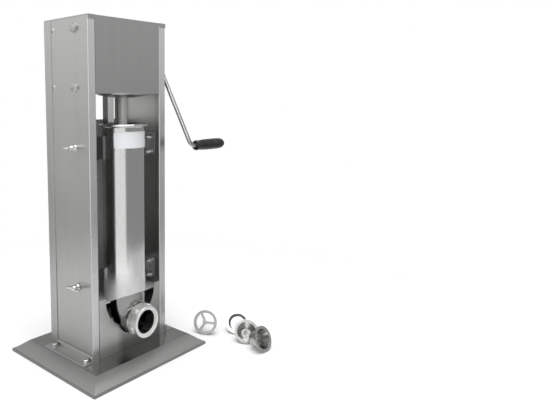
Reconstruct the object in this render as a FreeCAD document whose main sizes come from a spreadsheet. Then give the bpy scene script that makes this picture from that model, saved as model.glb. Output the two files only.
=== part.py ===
"""Column churro maker: crank, rack and piston over an upright cylinder with a forward outlet.

FreeCAD 1.1 macro, millimetres. The origin is the middle of the foot on the floor, +Z up,
the outlet faces -Y and the crank is on the +X side.
"""

import FreeCAD
import Part
import math
import os
import re
import Sketcher
from FreeCAD import Placement, Rotation, Vector

doc = FreeCAD.newDocument("churro_maker")

# ---------------------------------------------------------------- driving dimensions
SIZES = {
    # foot
    "base_width": 370,
    "base_depth": 324,
    "base_height": 28,
    "base_rim_height": 6,
    "base_ledge": 3,
    "base_apron_run": 29,
    "base_sheet": 1.5,
    "base_plate_thickness": 4,
    "stiffener_width": 30,
    "stiffener_wall": 2,
    # column
    "base_front_reach": 82,
    "body_width": 242,
    "body_depth": 161,
    "column_height": 780,
    "panel_sheet": 2,
    "flange_width": 21,
    "flange_return": 14,
    "rear_flange": 16,
    "bend_radius": 2.5,
    "foot_bracket_reach": 27,
    "foot_bracket_rise": 17,
    "foot_bracket_sheet": 3,
    "foot_bracket_length": 152,
    "foot_bolt_margin": 12,
    "foot_bolt_pitch": 120,
    "foot_bolt_radius": 4,
    "foot_bolt_inset": 2,
    "foot_bolt_flats": 12.8,
    "foot_bolt_head": 5.5,
    "washer_radius": 8,
    "washer_thickness": 1.5,
    "rear_sheet": 1.2,
    "rear_lap": 27,
    "window_half_width": 96,
    "window_sill": 549,
    "rear_screw_margin": 40,
    "rear_screw_rows": 4,
    "screw_radius": 2,
    "screw_head_radius": 4,
    "screw_land_radius": 2.8,
    "screw_head_height": 1.8,
    "lower_panel_height": 141,
    "cover_sheet": 1.5,
    "head_height": 167,
    "cover_rise": 3,
    "cover_hem": 6,
    "top_sheet": 3,
    "top_lip": 7,
    "top_screw_inset": 18,
    "top_screw_front": 34,
    "top_screw_back": 26,
    "fixing_setback": 47.5,
    "rivet_setback": 128,
    "head_bolt_margin": 22.3,
    "head_bolt_pitch": 130,
    "head_bolt_radius": 6,
    "head_bolt_flats": 18.6,
    "head_bolt_head": 6.5,
    "head_nut_height": 8,
    "rivet_radius": 3,
    "rivet_head_radius": 5.7,
    "rivet_head_height": 1.8,
    "rivet_tail_radius": 4.5,
    "rivet_tail_height": 2,
    "frame_sheet": 3,
    "lower_frame_ear": 40,
    "upper_frame_ear": 44,
    "frame_tongue_half_width": 30,
    # cylinder and outlet
    "axis_setback": 23,
    "tube_radius": 50.8,
    "tube_wall": 1.2,
    "shelf_level": 123.5,
    "shelf_sheet": 3,
    "shelf_ear": 20,
    "shelf_slot_gap": 0.8,
    "seat_overhang": 2.4,
    "seat_height": 3,
    "seam_height": 123,
    "mitre_angle": 22.5,
    "tube_length": 420.5,
    "flare_radius": 58,
    "flare_height": 11,
    "flare_bead": 1,
    "elbow_wall": 4,
    "elbow_collar": 3,
    "spigot_flange": 4,
    "elbow_step": 0.3,
    "bend_height": 123.5,
    "bend_reach": 27,
    "notch_radius": 80,
    "notch_height": 137,
    "pipe_hole_radius": 40,
    "outlet_height": 78,
    "outlet_radius": 38,
    "outlet_reach": 55,
    "thread_radius": 32.4,
    "nut_radius": 36,
    "nut_rim_radius": 37.6,
    "nut_rim_width": 5,
    "nut_length": 27.5,
    "nut_lip": 3,
    "nut_mouth_radius": 30.6,
    "nut_lugs": 5,
    "lug_radius": 41,
    "lug_width": 15,
    "lug_turn": 32,
    "lug_length": 17.75,
    "lug_root": 2,
    "gasket_thickness": 1.6,
    "label_drop": 55,
    "label_width": 119,
    "label_height": 38,
    "label_thickness": 0.3,
    "saddle_height": 56,
    "saddle_sheet": 3,
    "upper_saddle_height": 486,
    "lower_saddle_height": 163,
    "saddle_reach": 14,
    "saddle_lip": 8,
    "saddle_fit": 0.5,
    "saddle_bolt_radius": 4,
    "saddle_bolt_flats": 13,
    "saddle_bolt_head": 5.3,
    "saddle_bolt_length": 17,
    "saddle_nut_height": 6.5,
    "wing_rise": 6,
    "wing_bush_radius": 8,
    "wing_bush_length": 14,
    "wing_shank_length": 17,
    "wing_collar_end": 8,
    "wing_boss_end": 20,
    "wing_boss_radius": 7.5,
    "wing_tip_radius": 5,
    "wing_near": 9,
    "wing_far": 24,
    "wing_root": 3,
    "wing_span": 23,
    "wing_thickness": 4,
    "post_side": 20,
    "post_offset": 15.6,
    "post_clearance": 1.5,
    # rack and piston
    "stroke": 410,
    "piston_clearance": 4.5,
    "piston_thickness": 20,
    "piston_land": 0.8,
    "piston_dish_depth": 5,
    "piston_dish_low": 35.6,
    "piston_dish_high": 43.6,
    "piston_boss_radius": 16,
    "stud_radius": 6,
    "stud_length": 8,
    "piston_nut_flats": 20,
    "piston_nut_height": 6.5,
    "seal_height": 7,
    "seal_depth": 4,
    "rack_radius": 10,
    "rack_module": 2.5,
    "tooth_run_out": 24,
    "pinion_teeth": 15,
    "pinion_width": 18,
    "guide_disc_radius": 59,
    "guide_disc_drop": 8.5,
    "guide_disc_edge": 1.5,
    "guide_disc_dish": 3,
    "guide_flat": 12,
    "guide_boss_rise": 14,
    "upper_guide_drop": 22,
    "upper_guide_gap": 0.4,
    # gear train
    "gear_module": 2,
    "crank_teeth": 14,
    "idler_teeth": 32,
    "gear_width": 12,
    "gear_plane": 28,
    "gear_plate_sheet": 5,
    "gear_plate_setback": 6,
    "gear_plate_reach": 48,
    "left_plate_plane": 22,
    "right_plate_plane": 48,
    "idler_axle_radius": 7,
    "idler_axle_end": 9,
    "axle_nut_flats": 21,
    "axle_nut_height": 7,
    "axle_bush_length": 14,
    "sleeve_wall": 3,
    "sleeve_end_reach": 4,
    "shaft_radius": 8,
    "shaft_end_reach": 4,
    "bush_wall": 3,
    "bearing_flange_radius": 24,
    "bearing_flange_thickness": 4,
    "bearing_collar_out": 10,
    "bearing_collar_in": 6,
    "tooth_backlash": 0.3,
    "crank_shaft_setback": 54,
    "crank_shaft_height": 705.5,
    # crank
    "crank_plane": 24,
    "hub_radius": 15,
    "hub_length": 24,
    "hub_washer": 2,
    "hub_screw_flats": 13,
    "hub_screw_head": 5.5,
    "crank_radius": 5,
    "crank_drop": 219,
    "crank_forward": 118.5,
    "crank_bend": 14,
    "grip_start": 40,
    "grip_length": 108,
    "grip_radius": 13.5,
    "grip_neck_length": 10,
    "grip_swell_length": 24,
    "grip_round_length": 18,
    "grip_pocket": 16,
    "grip_pocket_radius": 8.5,
    "grip_end": 3.2,
    "grip_nut_length": 5.6,
    "rod_end": 10,
    # dies
    "die_radius": 31.5,
    "die_flange": 3,
    "die_spigot_radius": 27,
    "die_wall": 2.5,
    "die_lift": 0.4,
    "star_points": 8,
    "spider_x": 235,
    "spider_y": 120,
    "spider_heading": 25,
    "spider_depth": 9,
    "spider_leg": 6,
    "spider_hub_radius": 5.5,
    "spider_nose": 14,
    "spider_rim": 6.5,
    "long_die_x": 300,
    "long_die_y": 180,
    "long_die_heading": 32,
    "long_die_depth": 12,
    "long_die_tail": 22,
    "long_star_tip": 15,
    "long_star_root": 4.5,
    "cup_die_x": 270,
    "cup_die_y": 230,
    "cup_die_heading": 40,
    "cup_die_depth": 20,
    "cup_die_tail": 15,
    "cup_star_tip": 9.5,
    "cup_star_root": 5,
    "cone_die_x": 255,
    "cone_die_y": 290,
    "cone_die_heading": 88,
    "cone_die_depth": 30,
    "cone_die_tail": 19,
    "cone_die_mouth": 12,
    # fits and gaps
    "wing_round": 1.4,
    "running_fit": 0.05,
    "press_fit": 0.02,
    "seal_fit": 0.09,
    "sheet_gap": 0.3,
    "hole_gap": 0.3,
    "tap_gap": 0.05,
    "screw_gap": 0.2,
    "inner_gap": 2,
}

# ---------------------------------------------------------------- places worked out from them
PLACES = {
    "front": "base_front_reach - base_depth / 2",
    "back": "front + body_depth",
    "side": "body_width / 2",
    "wall": "side - panel_sheet",
    "opening": "side - flange_width",
    "column_top": "base_height + column_height",
    "head_bottom": "column_top - head_height",
    "axis_y": "front + axis_setback",
    "fixing_y": "front + fixing_setback",
    "rivet_y": "front + rivet_setback",
    "upper_bolt_z": "column_top - head_bolt_margin",
    "lower_bolt_z": "upper_bolt_z - head_bolt_pitch",
    "tube_bore": "tube_radius - tube_wall",
    "shelf_z": "base_height + shelf_level",
    "seam_z": "base_height + seam_height",
    "seam_rise": "tube_radius * tan(mitre_angle)",
    "tube_foot": "seam_z - seam_rise",
    "tube_top": "seam_z + tube_length",
    "panel_top": "base_height + lower_panel_height",
    "notch_z": "base_height + notch_height",
    "elbow_radius": "tube_bore - elbow_step",
    "bend_z": "base_height + bend_height",
    "outlet_z": "base_height + outlet_height",
    "outlet_face": "front - outlet_reach",
    "nut_back": "outlet_face + nut_length",
    "elbow_face": "outlet_face + nut_lip + gasket_thickness",
    "outlet_bore": "thread_radius - elbow_wall",
    "bend_end": "front - bend_reach",
    "piston_low": "seam_z + seam_rise + piston_clearance",
    "piston_high": "piston_low + piston_thickness",
    "rack_radius_pitch": "rack_module * pinion_teeth / 2",
    "idler_y": "fixing_y",
    "shaft_y": "front + crank_shaft_setback",
    "shaft_z": "base_height + crank_shaft_height",
    "gear_centres": "gear_module * (crank_teeth + idler_teeth) / 2",
    "idler_z": "shaft_z - sqrt(gear_centres ^ 2 - (shaft_y - idler_y) ^ 2)",
    "rack_pitch_y": "idler_y - rack_radius_pitch",
    "frame_high": "column_top - sheet_gap",
    "arm_x": "side + crank_plane",
    "grip_y": "shaft_y - crank_forward",
    "grip_z": "shaft_z - crank_drop",
    "grip_x": "side + grip_start",
    "saddle_inner": "tube_radius + saddle_fit",
    "saddle_outer": "saddle_inner + saddle_sheet",
    "post_front": "axis_y + flare_radius + flare_bead + post_clearance",
    "return_y": "front + flange_return - inner_gap",
    "inner_front": "front + flange_return + inner_gap",
    "stiffener_near": "side + foot_bracket_reach / 2 - stiffener_width / 2",
    "stiffener_far": "base_width / 2 - base_ledge - base_apron_run - base_sheet - inner_gap",
    "foot_bolt_x": "side + foot_bracket_reach / 2 - foot_bolt_inset",
}

WORDS = re.compile(r"\b(" + "|".join(sorted(SIZES, key=len, reverse=True)) + r")\b")
LOCAL = re.compile(r"\b(" + "|".join(sorted(PLACES, key=len, reverse=True)) + r")\b")


def fill_sheet(name, rows):
    """Writes one spreadsheet row for each named value, with its name as the cell's alias."""
    sheet = doc.addObject("Spreadsheet::Sheet", name)
    for row, (alias, content) in enumerate(rows, start=1):
        sheet.set(f"A{row}", alias)
        sheet.set(f"B{row}", content)
        sheet.setAlias(f"B{row}", alias)
    doc.recompute()
    return sheet


sheet_sizes = fill_sheet("Sizes", [(alias, str(number)) for alias, number in SIZES.items()])
sheet_places = fill_sheet(
    "Places", [(alias, "=" + WORDS.sub(r"Sizes.\1", text)) for alias, text in PLACES.items()]
)


def size(alias):
    """The present value of a driving dimension or a place, as a number."""
    sheet = sheet_sizes if alias in SIZES else sheet_places
    return float(sheet.get(alias))


def bind(item, path, text):
    """Ties one property of an object to an expression of the named values."""
    item.setExpression(path, LOCAL.sub(r"Places.\1", WORDS.sub(r"Sizes.\1", text)))


# ---------------------------------------------------------------- building blocks
AXIS_TURN = {
    "x": Rotation(Vector(0, 1, 0), 90),
    "y": Rotation(Vector(1, 0, 0), -90),
    "z": Rotation(),
}
SPANS = {"x": "Length", "y": "Width", "z": "Height"}
parts = []


def node(item, label):
    """Registers a finished sub-part under the name of its node."""
    item.Label = label
    parts.append(item)
    return item


def set_base(item, point):
    """Binds the three coordinates of an object's placement."""
    for axis, text in zip("xyz", point):
        bind(item, f"Placement.Base.{axis}", text)


def block(name, x, y, z):
    """A box given by its low and high bound along each axis."""
    item = doc.addObject("Part::Box", name)
    for axis, (low, high) in zip("xyz", (x, y, z)):
        bind(item, f"Placement.Base.{axis}", low)
        bind(item, SPANS[axis], f"({high}) - ({low})")
    return item


def rod(name, axis, centre, radius, span):
    """A round bar along one axis; centre holds the two other coordinates in x, y, z order."""
    item = doc.addObject("Part::Cylinder", name)
    item.Placement = Placement(Vector(), AXIS_TURN[axis])
    bind(item, "Radius", radius)
    bind(item, "Height", f"({span[1]}) - ({span[0]})")
    point = list(centre)
    point.insert("xyz".index(axis), span[0])
    set_base(item, point)
    return item


def cone(name, axis, centre, radii, span):
    """A cone frustum along one axis, from the first radius to the second."""
    item = doc.addObject("Part::Cone", name)
    item.Placement = Placement(Vector(), AXIS_TURN[axis])
    bind(item, "Radius1", radii[0])
    bind(item, "Radius2", radii[1])
    bind(item, "Height", f"({span[1]}) - ({span[0]})")
    point = list(centre)
    point.insert("xyz".index(axis), span[0])
    set_base(item, point)
    return item


def join(name, items):
    """One solid from several that touch or overlap."""
    item = doc.addObject("Part::MultiFuse", name)
    item.Shapes = items
    item.Refine = True
    return item


def group(name, items):
    """Separate solids kept side by side."""
    item = doc.addObject("Part::Compound", name)
    item.Links = items
    return item


def cut(name, base, tools):
    """The base with the tools taken away."""
    item = doc.addObject("Part::Cut", name)
    item.Base = base
    item.Tool = tools[0] if len(tools) == 1 else group(name + "_tools", tools)
    return item


def common(name, base, tool):
    """What two solids share."""
    item = doc.addObject("Part::Common", name)
    item.Base = base
    item.Tool = tool
    return item


def tube(name, axis, centre, outer, inner, span):
    """A straight round tube."""
    shell = rod(name + "_outer", axis, centre, outer, span)
    bore = rod(name + "_bore", axis, centre, inner, span)
    return cut(name, shell, [bore])


def hexagon(name, axis, centre, across_flats, span):
    """A hexagonal prism along one axis."""
    section = doc.addObject("Part::RegularPolygon", name + "_section")
    section.Polygon = 6
    section.Placement = Placement(Vector(), AXIS_TURN[axis])
    bind(section, "Circumradius", f"({across_flats}) / sqrt(3)")
    point = list(centre)
    point.insert("xyz".index(axis), span[0])
    set_base(section, point)
    item = doc.addObject("Part::Extrusion", name)
    item.Base = section
    item.Solid = True
    item.DirMode = "Custom"
    item.Dir = AXIS_TURN[axis].multVec(Vector(0, 0, 1))
    bind(item, "LengthFwd", f"({span[1]}) - ({span[0]})")
    return item


def origin_plane(body, role):
    """One of a body's own origin planes."""
    return next(feature for feature in body.Origin.OriginFeatures if feature.Role == role)


def outline(body, name, role, points, level=None):
    """A closed polygon sketch whose corners are all bound to expressions."""
    sketch = body.newObject("Sketcher::SketchObject", name)
    sketch.AttachmentSupport = [(origin_plane(body, role), "")]
    sketch.MapMode = "FlatFace"
    if level is not None:
        bind(sketch, "AttachmentOffset.Base.z", level)
    count = len(points)
    turns = [2 * math.pi * index / count for index in range(count)]
    corners = [Vector(100 * math.cos(turn), 100 * math.sin(turn), 0) for turn in turns]
    for index in range(count):
        line = Part.LineSegment(corners[index], corners[(index + 1) % count])
        sketch.addGeometry(line, False)
    for index in range(count):
        sketch.addConstraint(Sketcher.Constraint("Coincident", index, 2, (index + 1) % count, 1))
    for index, (first, second) in enumerate(points):
        for kind, text, value in (
            ("DistanceX", first, corners[index].x),
            ("DistanceY", second, corners[index].y),
        ):
            number = sketch.addConstraint(Sketcher.Constraint(kind, index, 1, value))
            bind(sketch, f"Constraints[{number}]", text)
    return sketch


def folded(name, points, low, high):
    """A folded sheet: its plan outline padded from one height to another."""
    body = doc.addObject("PartDesign::Body", name)
    sketch = outline(body, name + "_plan", "XY_Plane", points, low)
    pad = body.newObject("PartDesign::Pad", name + "_pad")
    pad.Profile = sketch
    bind(pad, "Length", f"({high}) - ({low})")
    body.Tip = pad
    doc.recompute()
    return body


def turned(name, points, place=None):
    """A turned piece: its half section, radius and height, revolved about Z."""
    body = doc.addObject("PartDesign::Body", name)
    sketch = outline(body, name + "_section", "XZ_Plane", points)
    turn = body.newObject("PartDesign::Revolution", name + "_turn")
    turn.Profile = sketch
    turn.ReferenceAxis = (sketch, ["V_Axis"])
    turn.Angle = 360
    body.Tip = turn
    if place is not None:
        body.Placement = place
    doc.recompute()
    return body


def round_edges(body, name, radius, wanted):
    """Fillets the edges of the body's tip that the test picks."""
    tip = body.Tip
    chosen = [f"Edge{i}" for i, edge in enumerate(tip.Shape.Edges, start=1) if wanted(edge)]
    fillet = body.newObject("PartDesign::Fillet", name)
    fillet.Base = (tip, chosen)
    bind(fillet, "Radius", radius)
    body.Tip = fillet
    doc.recompute()
    return body


def upright_at(x, y):
    """A test for an upright edge that stands at one place in the plan."""

    def wanted(edge):
        ends = [vertex.Point for vertex in edge.Vertexes]
        return len(ends) == 2 and all(abs(p.x - x) < 0.01 and abs(p.y - y) < 0.01 for p in ends)

    return wanted


def solid(name, shape):
    """A shape made with Part's own functions, as an object of the document."""
    item = doc.addObject("Part::Feature", name)
    item.Shape = shape
    return item


# ---------------------------------------------------------------- foot
def build_base():
    """Foot plate, pressed cover with sloping apron, and the two stiffeners under the column."""
    rim_x = "base_width / 2"
    rim_y = "base_depth / 2"
    slack = "base_sheet + sheet_gap"
    plate = block(
        "base_plate_box",
        (f"-({rim_x} - ({slack}))", f"{rim_x} - ({slack})"),
        (f"-({rim_y} - ({slack}))", f"{rim_y} - ({slack})"),
        ("0", "base_plate_thickness"),
    )
    node(plate, "base_plate")

    def apron(name, inset, drop):
        """The sloping pressing: a wedge from the ledge up to the flat top."""
        item = doc.addObject("Part::Wedge", name)
        item.Placement = Placement(Vector(), Rotation(Vector(1, 0, 0), 90))
        bind(item, "Ymin", "base_rim_height - " + drop)
        bind(item, "Ymax", "base_height - " + drop)
        for low, high, half, run in (
            ("Xmin", "Xmax", rim_x, "base_ledge"),
            ("Zmin", "Zmax", rim_y, "base_ledge"),
            ("X2min", "X2max", rim_x, "base_ledge + base_apron_run"),
            ("Z2min", "Z2max", rim_y, "base_ledge + base_apron_run"),
        ):
            bind(item, low, f"-({half} - ({run}) - {inset})")
            bind(item, high, f"{half} - ({run}) - {inset}")
        return item

    rim = block("base_rim", (f"-{rim_x}", rim_x), (f"-{rim_y}", rim_y), ("0", "base_rim_height"))
    hollow = block(
        "base_rim_hollow",
        (f"-({rim_x} - base_sheet)", f"{rim_x} - base_sheet"),
        (f"-({rim_y} - base_sheet)", f"{rim_y} - base_sheet"),
        ("0", "base_rim_height - base_sheet"),
    )
    shell = join("base_cover_outer", [rim, apron("base_apron", "0", "0")])
    holes = foot_holes("base_cover", "base_height - 3 * base_sheet", "base_height + 1")
    cover = cut(
        "base_cover_cut", shell, [hollow, apron("base_apron_hollow", "base_sheet", "base_sheet")] + holes
    )
    node(cover, "base_cover")

    bars = []
    low, high = "base_plate_thickness", "base_height - base_sheet"
    for side, near, far, inward in (
        ("left", "-stiffener_far", "-stiffener_near", "stiffener_wall"),
        ("right", "stiffener_near", "stiffener_far", "stiffener_wall"),
    ):
        run = ("front", "front + foot_bracket_length")
        bar = block(f"stiffener_{side}", (near, far), run, (low, high))
        channel = block(
            f"stiffener_{side}_channel",
            (f"{near} + {inward}", f"{far} - {inward}"),
            ("front - 1", "front + foot_bracket_length + 1"),
            (f"{low} + stiffener_wall", f"{high} - 2 * stiffener_wall"),
        )
        bars.append(cut(f"stiffener_{side}_bar", bar, [channel]))
    drilled = cut(
        "base_stiffeners_drilled",
        group("base_stiffener_pair", bars),
        foot_holes("stiffener", "base_height - base_sheet - 3 * stiffener_wall", "base_height"),
    )
    node(drilled, "base_stiffeners")


def foot_places():
    """The four foot bolts, in plan."""
    for side, sign in (("left", "-"), ("right", "+")):
        for row in range(2):
            x = f"{sign}foot_bolt_x"
            y = f"front + foot_bolt_margin + {row} * foot_bolt_pitch"
            yield f"{side}_{row}", x, y


def foot_holes(owner, low, high):
    """Clearance holes for the foot bolts through one piece."""
    return [
        rod(f"{owner}_hole_{tag}", "z", (x, y), "foot_bolt_radius + hole_gap", (low, high))
        for tag, x, y in foot_places()
    ]


def build_foot_brackets():
    """The angle brackets that hold the column down, and their bolts."""
    top = "base_height + foot_bracket_sheet"
    for side, sign in (("left", "-"), ("right", "+")):
        near, far = "side", "side + foot_bracket_reach"
        lap = "side + foot_bracket_sheet"
        if sign == "-":
            flat_x, rise_x = (f"-({far})", f"-({near})"), (f"-({lap})", f"-({near})")
        else:
            flat_x, rise_x = (near, far), (near, lap)
        flat = block(
            f"foot_bracket_{side}_flat",
            flat_x,
            ("front", "front + foot_bracket_length"),
            ("base_height", top),
        )
        rise = block(
            f"foot_bracket_{side}_rise",
            rise_x,
            ("front", "back - rear_lap - sheet_gap"),
            ("base_height", "base_height + foot_bracket_rise"),
        )
        angle = join(f"foot_bracket_{side}_angle", [flat, rise])
        holes = foot_holes(f"bracket_{side}", "base_height - 1", top + " + 1")
        node(cut(f"foot_bracket_{side}_cut", angle, holes), f"foot_bracket_{side}")
    bolts = []
    for tag, x, y in foot_places():
        shank = rod(
            f"foot_bolt_{tag}_shank",
            "z",
            (x, y),
            "foot_bolt_radius",
            ("base_height - base_sheet - 2 * stiffener_wall + screw_gap", top + " + 1"),
        )
        seat = top + " + washer_thickness"
        washer = rod(f"foot_bolt_{tag}_washer", "z", (x, y), "washer_radius", (top, seat))
        head = hexagon(
            f"foot_bolt_{tag}_head", "z", (x, y), "foot_bolt_flats", (seat, seat + " + foot_bolt_head")
        )
        bolts.append(join(f"foot_bolt_{tag}", [shank, washer, head]))
    node(group("foot_bolt_set", bolts), "foot_bolts")


# ---------------------------------------------------------------- column
def rear_screw_places(sign):
    """The screws down one side of the rear cover: tag, x and height."""
    for row in range(int(size("rear_screw_rows"))):
        x = f"{sign}(side - rear_flange / 2)"
        pitch = "(column_height - 2 * rear_screw_margin) / (rear_screw_rows - 1)"
        yield row, x, f"base_height + rear_screw_margin + {row} * {pitch}"


def side_tools(sign, owner):
    """Drillings of one side panel: head bolts, rivets, saddle bolts or wing screw, shaft."""
    span = (f"{sign}side - 4", f"{sign}side + 4")
    tools = []
    for tag, z in (("upper", "upper_bolt_z"), ("lower", "lower_bolt_z")):
        tools.append(
            rod(f"{owner}_{tag}_bolt", "x", ("fixing_y", z), "head_bolt_radius + hole_gap", span)
        )
        tools.append(
            rod(f"{owner}_{tag}_rivet", "x", ("rivet_y", z), "rivet_radius + running_fit", span)
        )
    for level in ("upper", "lower"):
        for tag, z in saddle_bolt_levels(level) if sign == "+" else wing_levels(level):
            tools.append(
                rod(f"{owner}_{level}_{tag}", "x", ("fixing_y", z), "saddle_bolt_radius + hole_gap", span)
            )
    for row, x, z in rear_screw_places(sign):
        reach = ("back - rear_sheet - 3 * panel_sheet", "back")
        tools.append(rod(f"{owner}_rear_tap_{row}", "y", (x, z), "screw_radius + tap_gap", reach))
    if sign == "+":
        bore = "shaft_radius + bush_wall + screw_gap"
        tools.append(rod(f"{owner}_shaft", "x", ("shaft_y", "shaft_z"), bore, span))
    return tools


def saddle_bolt_levels(level):
    """Heights of the two bolts of one saddle's right ear."""
    middle = f"base_height + {level}_saddle_height"
    return [("low", middle + " - saddle_height / 3"), ("high", middle + " + saddle_height / 3")]


def wing_levels(level):
    """Height of the wing screw of one saddle's left ear."""
    return [("wing", f"base_height + {level}_saddle_height + wing_rise")]


def build_side_panels():
    """The two folded side panels with their front flanges and rear returns."""
    rear = "back - rear_sheet - sheet_gap"
    for side, sign in (("left", "-"), ("right", "+")):
        plan = [
            ("side", "front"),
            ("side", rear),
            ("side - rear_flange", rear),
            ("side - rear_flange", f"{rear} - panel_sheet"),
            ("wall", f"{rear} - panel_sheet"),
            ("wall", "front + panel_sheet"),
            ("opening + panel_sheet", "front + panel_sheet"),
            ("opening + panel_sheet", "front + flange_return"),
            ("opening", "front + flange_return"),
            ("opening", "front"),
        ]
        mirrored = [(f"{sign}({x})", y) for x, y in plan]
        body = folded(f"{side}_panel_body", mirrored, "base_height", "column_top")
        factor = -1 if sign == "-" else 1
        for tag, alias in (("outer", "side"), ("inner", "opening")):
            corner = upright_at(factor * size(alias), size("front"))
            round_edges(body, f"{side}_panel_{tag}_bend", "bend_radius", corner)
        panel = cut(f"{side}_panel_cut", body, side_tools(sign, side))
        node(panel, f"{side}_side_panel")


SCREW_HEAD = ("screw_head_radius", "screw_land_radius")


def build_rear_cover():
    """The rear cover that laps both side panels, with its window, and its screws."""
    lap = "side + rear_sheet"
    inner = "back - rear_sheet"
    plan = [
        (f"-({lap})", "back - rear_lap"),
        (f"-({lap})", "back"),
        (lap, "back"),
        (lap, "back - rear_lap"),
        ("side + press_fit", "back - rear_lap"),
        ("side + press_fit", inner),
        ("-side - press_fit", inner),
        ("-side - press_fit", "back - rear_lap"),
    ]
    low = "base_height + foot_bracket_sheet + sheet_gap"
    body = folded("rear_cover_body", plan, low, "column_top")
    for tag, sign in (("left", -1), ("right", 1)):
        corner = upright_at(sign * (size("side") + size("rear_sheet")), size("back"))
        round_edges(body, f"rear_cover_{tag}_bend", "rear_sheet", corner)
    window = block(
        "rear_window",
        ("-window_half_width", "window_half_width"),
        ("back - 3 * rear_sheet", "back + 1"),
        ("base_height + window_sill", "head_bottom"),
    )
    holes, screws = [], []
    for tag, sign in (("left", "-"), ("right", "+")):
        for row, x, z in rear_screw_places(sign):
            name = f"rear_screw_{tag}_{row}"
            through = (inner + " - 1", "back + 1")
            holes.append(rod(name + "_hole", "y", (x, z), "screw_radius + screw_gap", through))
            shank = rod(name + "_shank", "y", (x, z), "screw_radius", ("back - 3.2", "back + 0.1"))
            head = cone(name + "_head", "y", (x, z), SCREW_HEAD, ("back", "back + screw_head_height"))
            screws.append(join(name, [shank, head]))
    cover = cut("rear_cover_cut", body, [window] + holes)
    node(cover, "rear_cover")
    node(group("rear_screw_set", screws), "rear_cover_screws")


def build_front_covers():
    """Head front cover, top cover with its screws, and the lower panel with its bowl-shaped notch."""
    face = "front + sheet_gap"
    edge = "opening - sheet_gap"
    plan = [
        (f"-({edge})", face),
        (edge, face),
        (edge, "return_y"),
        (f"{edge} - cover_sheet", "return_y"),
        (f"{edge} - cover_sheet", f"{face} + cover_sheet"),
        (f"-({edge}) + cover_sheet", f"{face} + cover_sheet"),
        (f"-({edge}) + cover_sheet", "return_y"),
        (f"-({edge})", "return_y"),
    ]
    head = folded("head_cover_body", plan, "head_bottom", "column_top + cover_rise")
    hem = block(
        "head_cover_hem",
        (f"-({edge})", edge),
        (face, "front + cover_hem"),
        ("head_bottom", "head_bottom + cover_sheet"),
    )
    above = block(
        "head_cover_relief",
        (f"-({edge}) - 1", f"{edge} + 1"),
        (f"{face} + cover_sheet", "front + flange_return"),
        ("column_top - sheet_gap", "column_top + cover_rise + 1"),
    )
    node(cut("head_cover_cut", join("head_cover_joined", [head, hem]), [above]), "head_front_cover")

    low, high = "column_top", "column_top + top_sheet"
    plate = block("top_plate", ("-side", "side"), ("front", "back"), (low, high))
    notch = block(
        "top_plate_notch",
        (f"-({edge}) - sheet_gap", f"{edge} + sheet_gap"),
        ("front - 1", f"{face} + cover_sheet + sheet_gap"),
        (low + " - 1", high + " + 1"),
    )
    through = (low + " - 1", high + " + 1")
    rack_hole = rod("top_plate_rack_hole", "z", ("0", "axis_y"), "rack_radius + bush_wall + 1", through)
    lips = [
        block(
            f"top_lip_{tag}",
            (low_x, high_x),
            ("front - rear_sheet", "front + 0.01"),
            ("column_top - top_lip", high),
        )
        for tag, low_x, high_x in (("left", "-side", "-opening"), ("right", "opening", "side"))
    ]
    lips_clear = [
        block(
            f"top_lip_clear_{tag}",
            (low_x, high_x),
            ("front - 0.005", "front + 1"),
            ("column_top - top_lip - 1", low),
        )
        for tag, low_x, high_x in (
            ("left", "-side - 1", "-opening + 1"),
            ("right", "opening - 1", "side + 1"),
        )
    ]
    holes, screws = [], []
    for tag, x, y in top_screw_places():
        name = f"top_screw_{tag}"
        holes.append(rod(name + "_hole", "z", (x, y), "screw_radius + screw_gap", through))
        shank = rod(name + "_shank", "z", (x, y), "screw_radius", (low + " - 3", high + " + 0.1"))
        cap = cone(name + "_head", "z", (x, y), SCREW_HEAD, (high, high + " + screw_head_height"))
        screws.append(join(name, [shank, cap]))
    top = cut(
        "top_cover_cut", join("top_cover_sheet", [plate] + lips), [notch, rack_hole] + lips_clear + holes
    )
    node(top, "top_cover")
    node(group("top_screw_set", screws), "top_cover_screws")

    panel = folded("lower_panel_body", plan, "base_height", "panel_top")
    through = ("front - 1", "front + 4 * cover_sheet")
    bowl = rod("panel_bowl", "y", ("0", "notch_z"), "notch_radius", through)
    pipe = rod("panel_pipe_hole", "y", ("0", "outlet_z"), "pipe_hole_radius", through)
    node(cut("lower_panel_cut", panel, [bowl, pipe]), "lower_front_panel")


def build_shelf():
    """The shelf on which the cylinder's seat ring stands, with its slot open to the front."""
    inside = "wall - sheet_gap"
    run = ("inner_front", "back - rear_sheet - 2 * sheet_gap - panel_sheet")
    plates = [block("shelf_plate", (f"-({inside})", inside), run, ("shelf_z - shelf_sheet", "shelf_z"))]
    for tag, x in (
        ("left", (f"-({inside})", f"-({inside}) + shelf_sheet")),
        ("right", (f"{inside} - shelf_sheet", inside)),
    ):
        plates.append(block(f"shelf_ear_{tag}", x, run, ("shelf_z - shelf_ear", "shelf_z")))
    radius = "tube_radius + shelf_slot_gap"
    reach = ("shelf_z - shelf_sheet - 1", "shelf_z + 1")
    hole = rod("shelf_hole", "z", ("0", "axis_y"), radius, reach)
    mouth = block("shelf_mouth", (f"-({radius})", radius), ("front", "axis_y"), reach)
    node(cut("shelf_cut", join("shelf_joined", plates), [hole, mouth]), "cylinder_shelf")


def top_screw_places():
    """The four screws of the top cover, in plan."""
    for tag_x, x in (("left", "-(side - top_screw_inset)"), ("right", "side - top_screw_inset")):
        for tag_y, y in (("front", "front + top_screw_front"), ("back", "back - top_screw_back")):
            yield f"{tag_x}_{tag_y}", x, y


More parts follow.
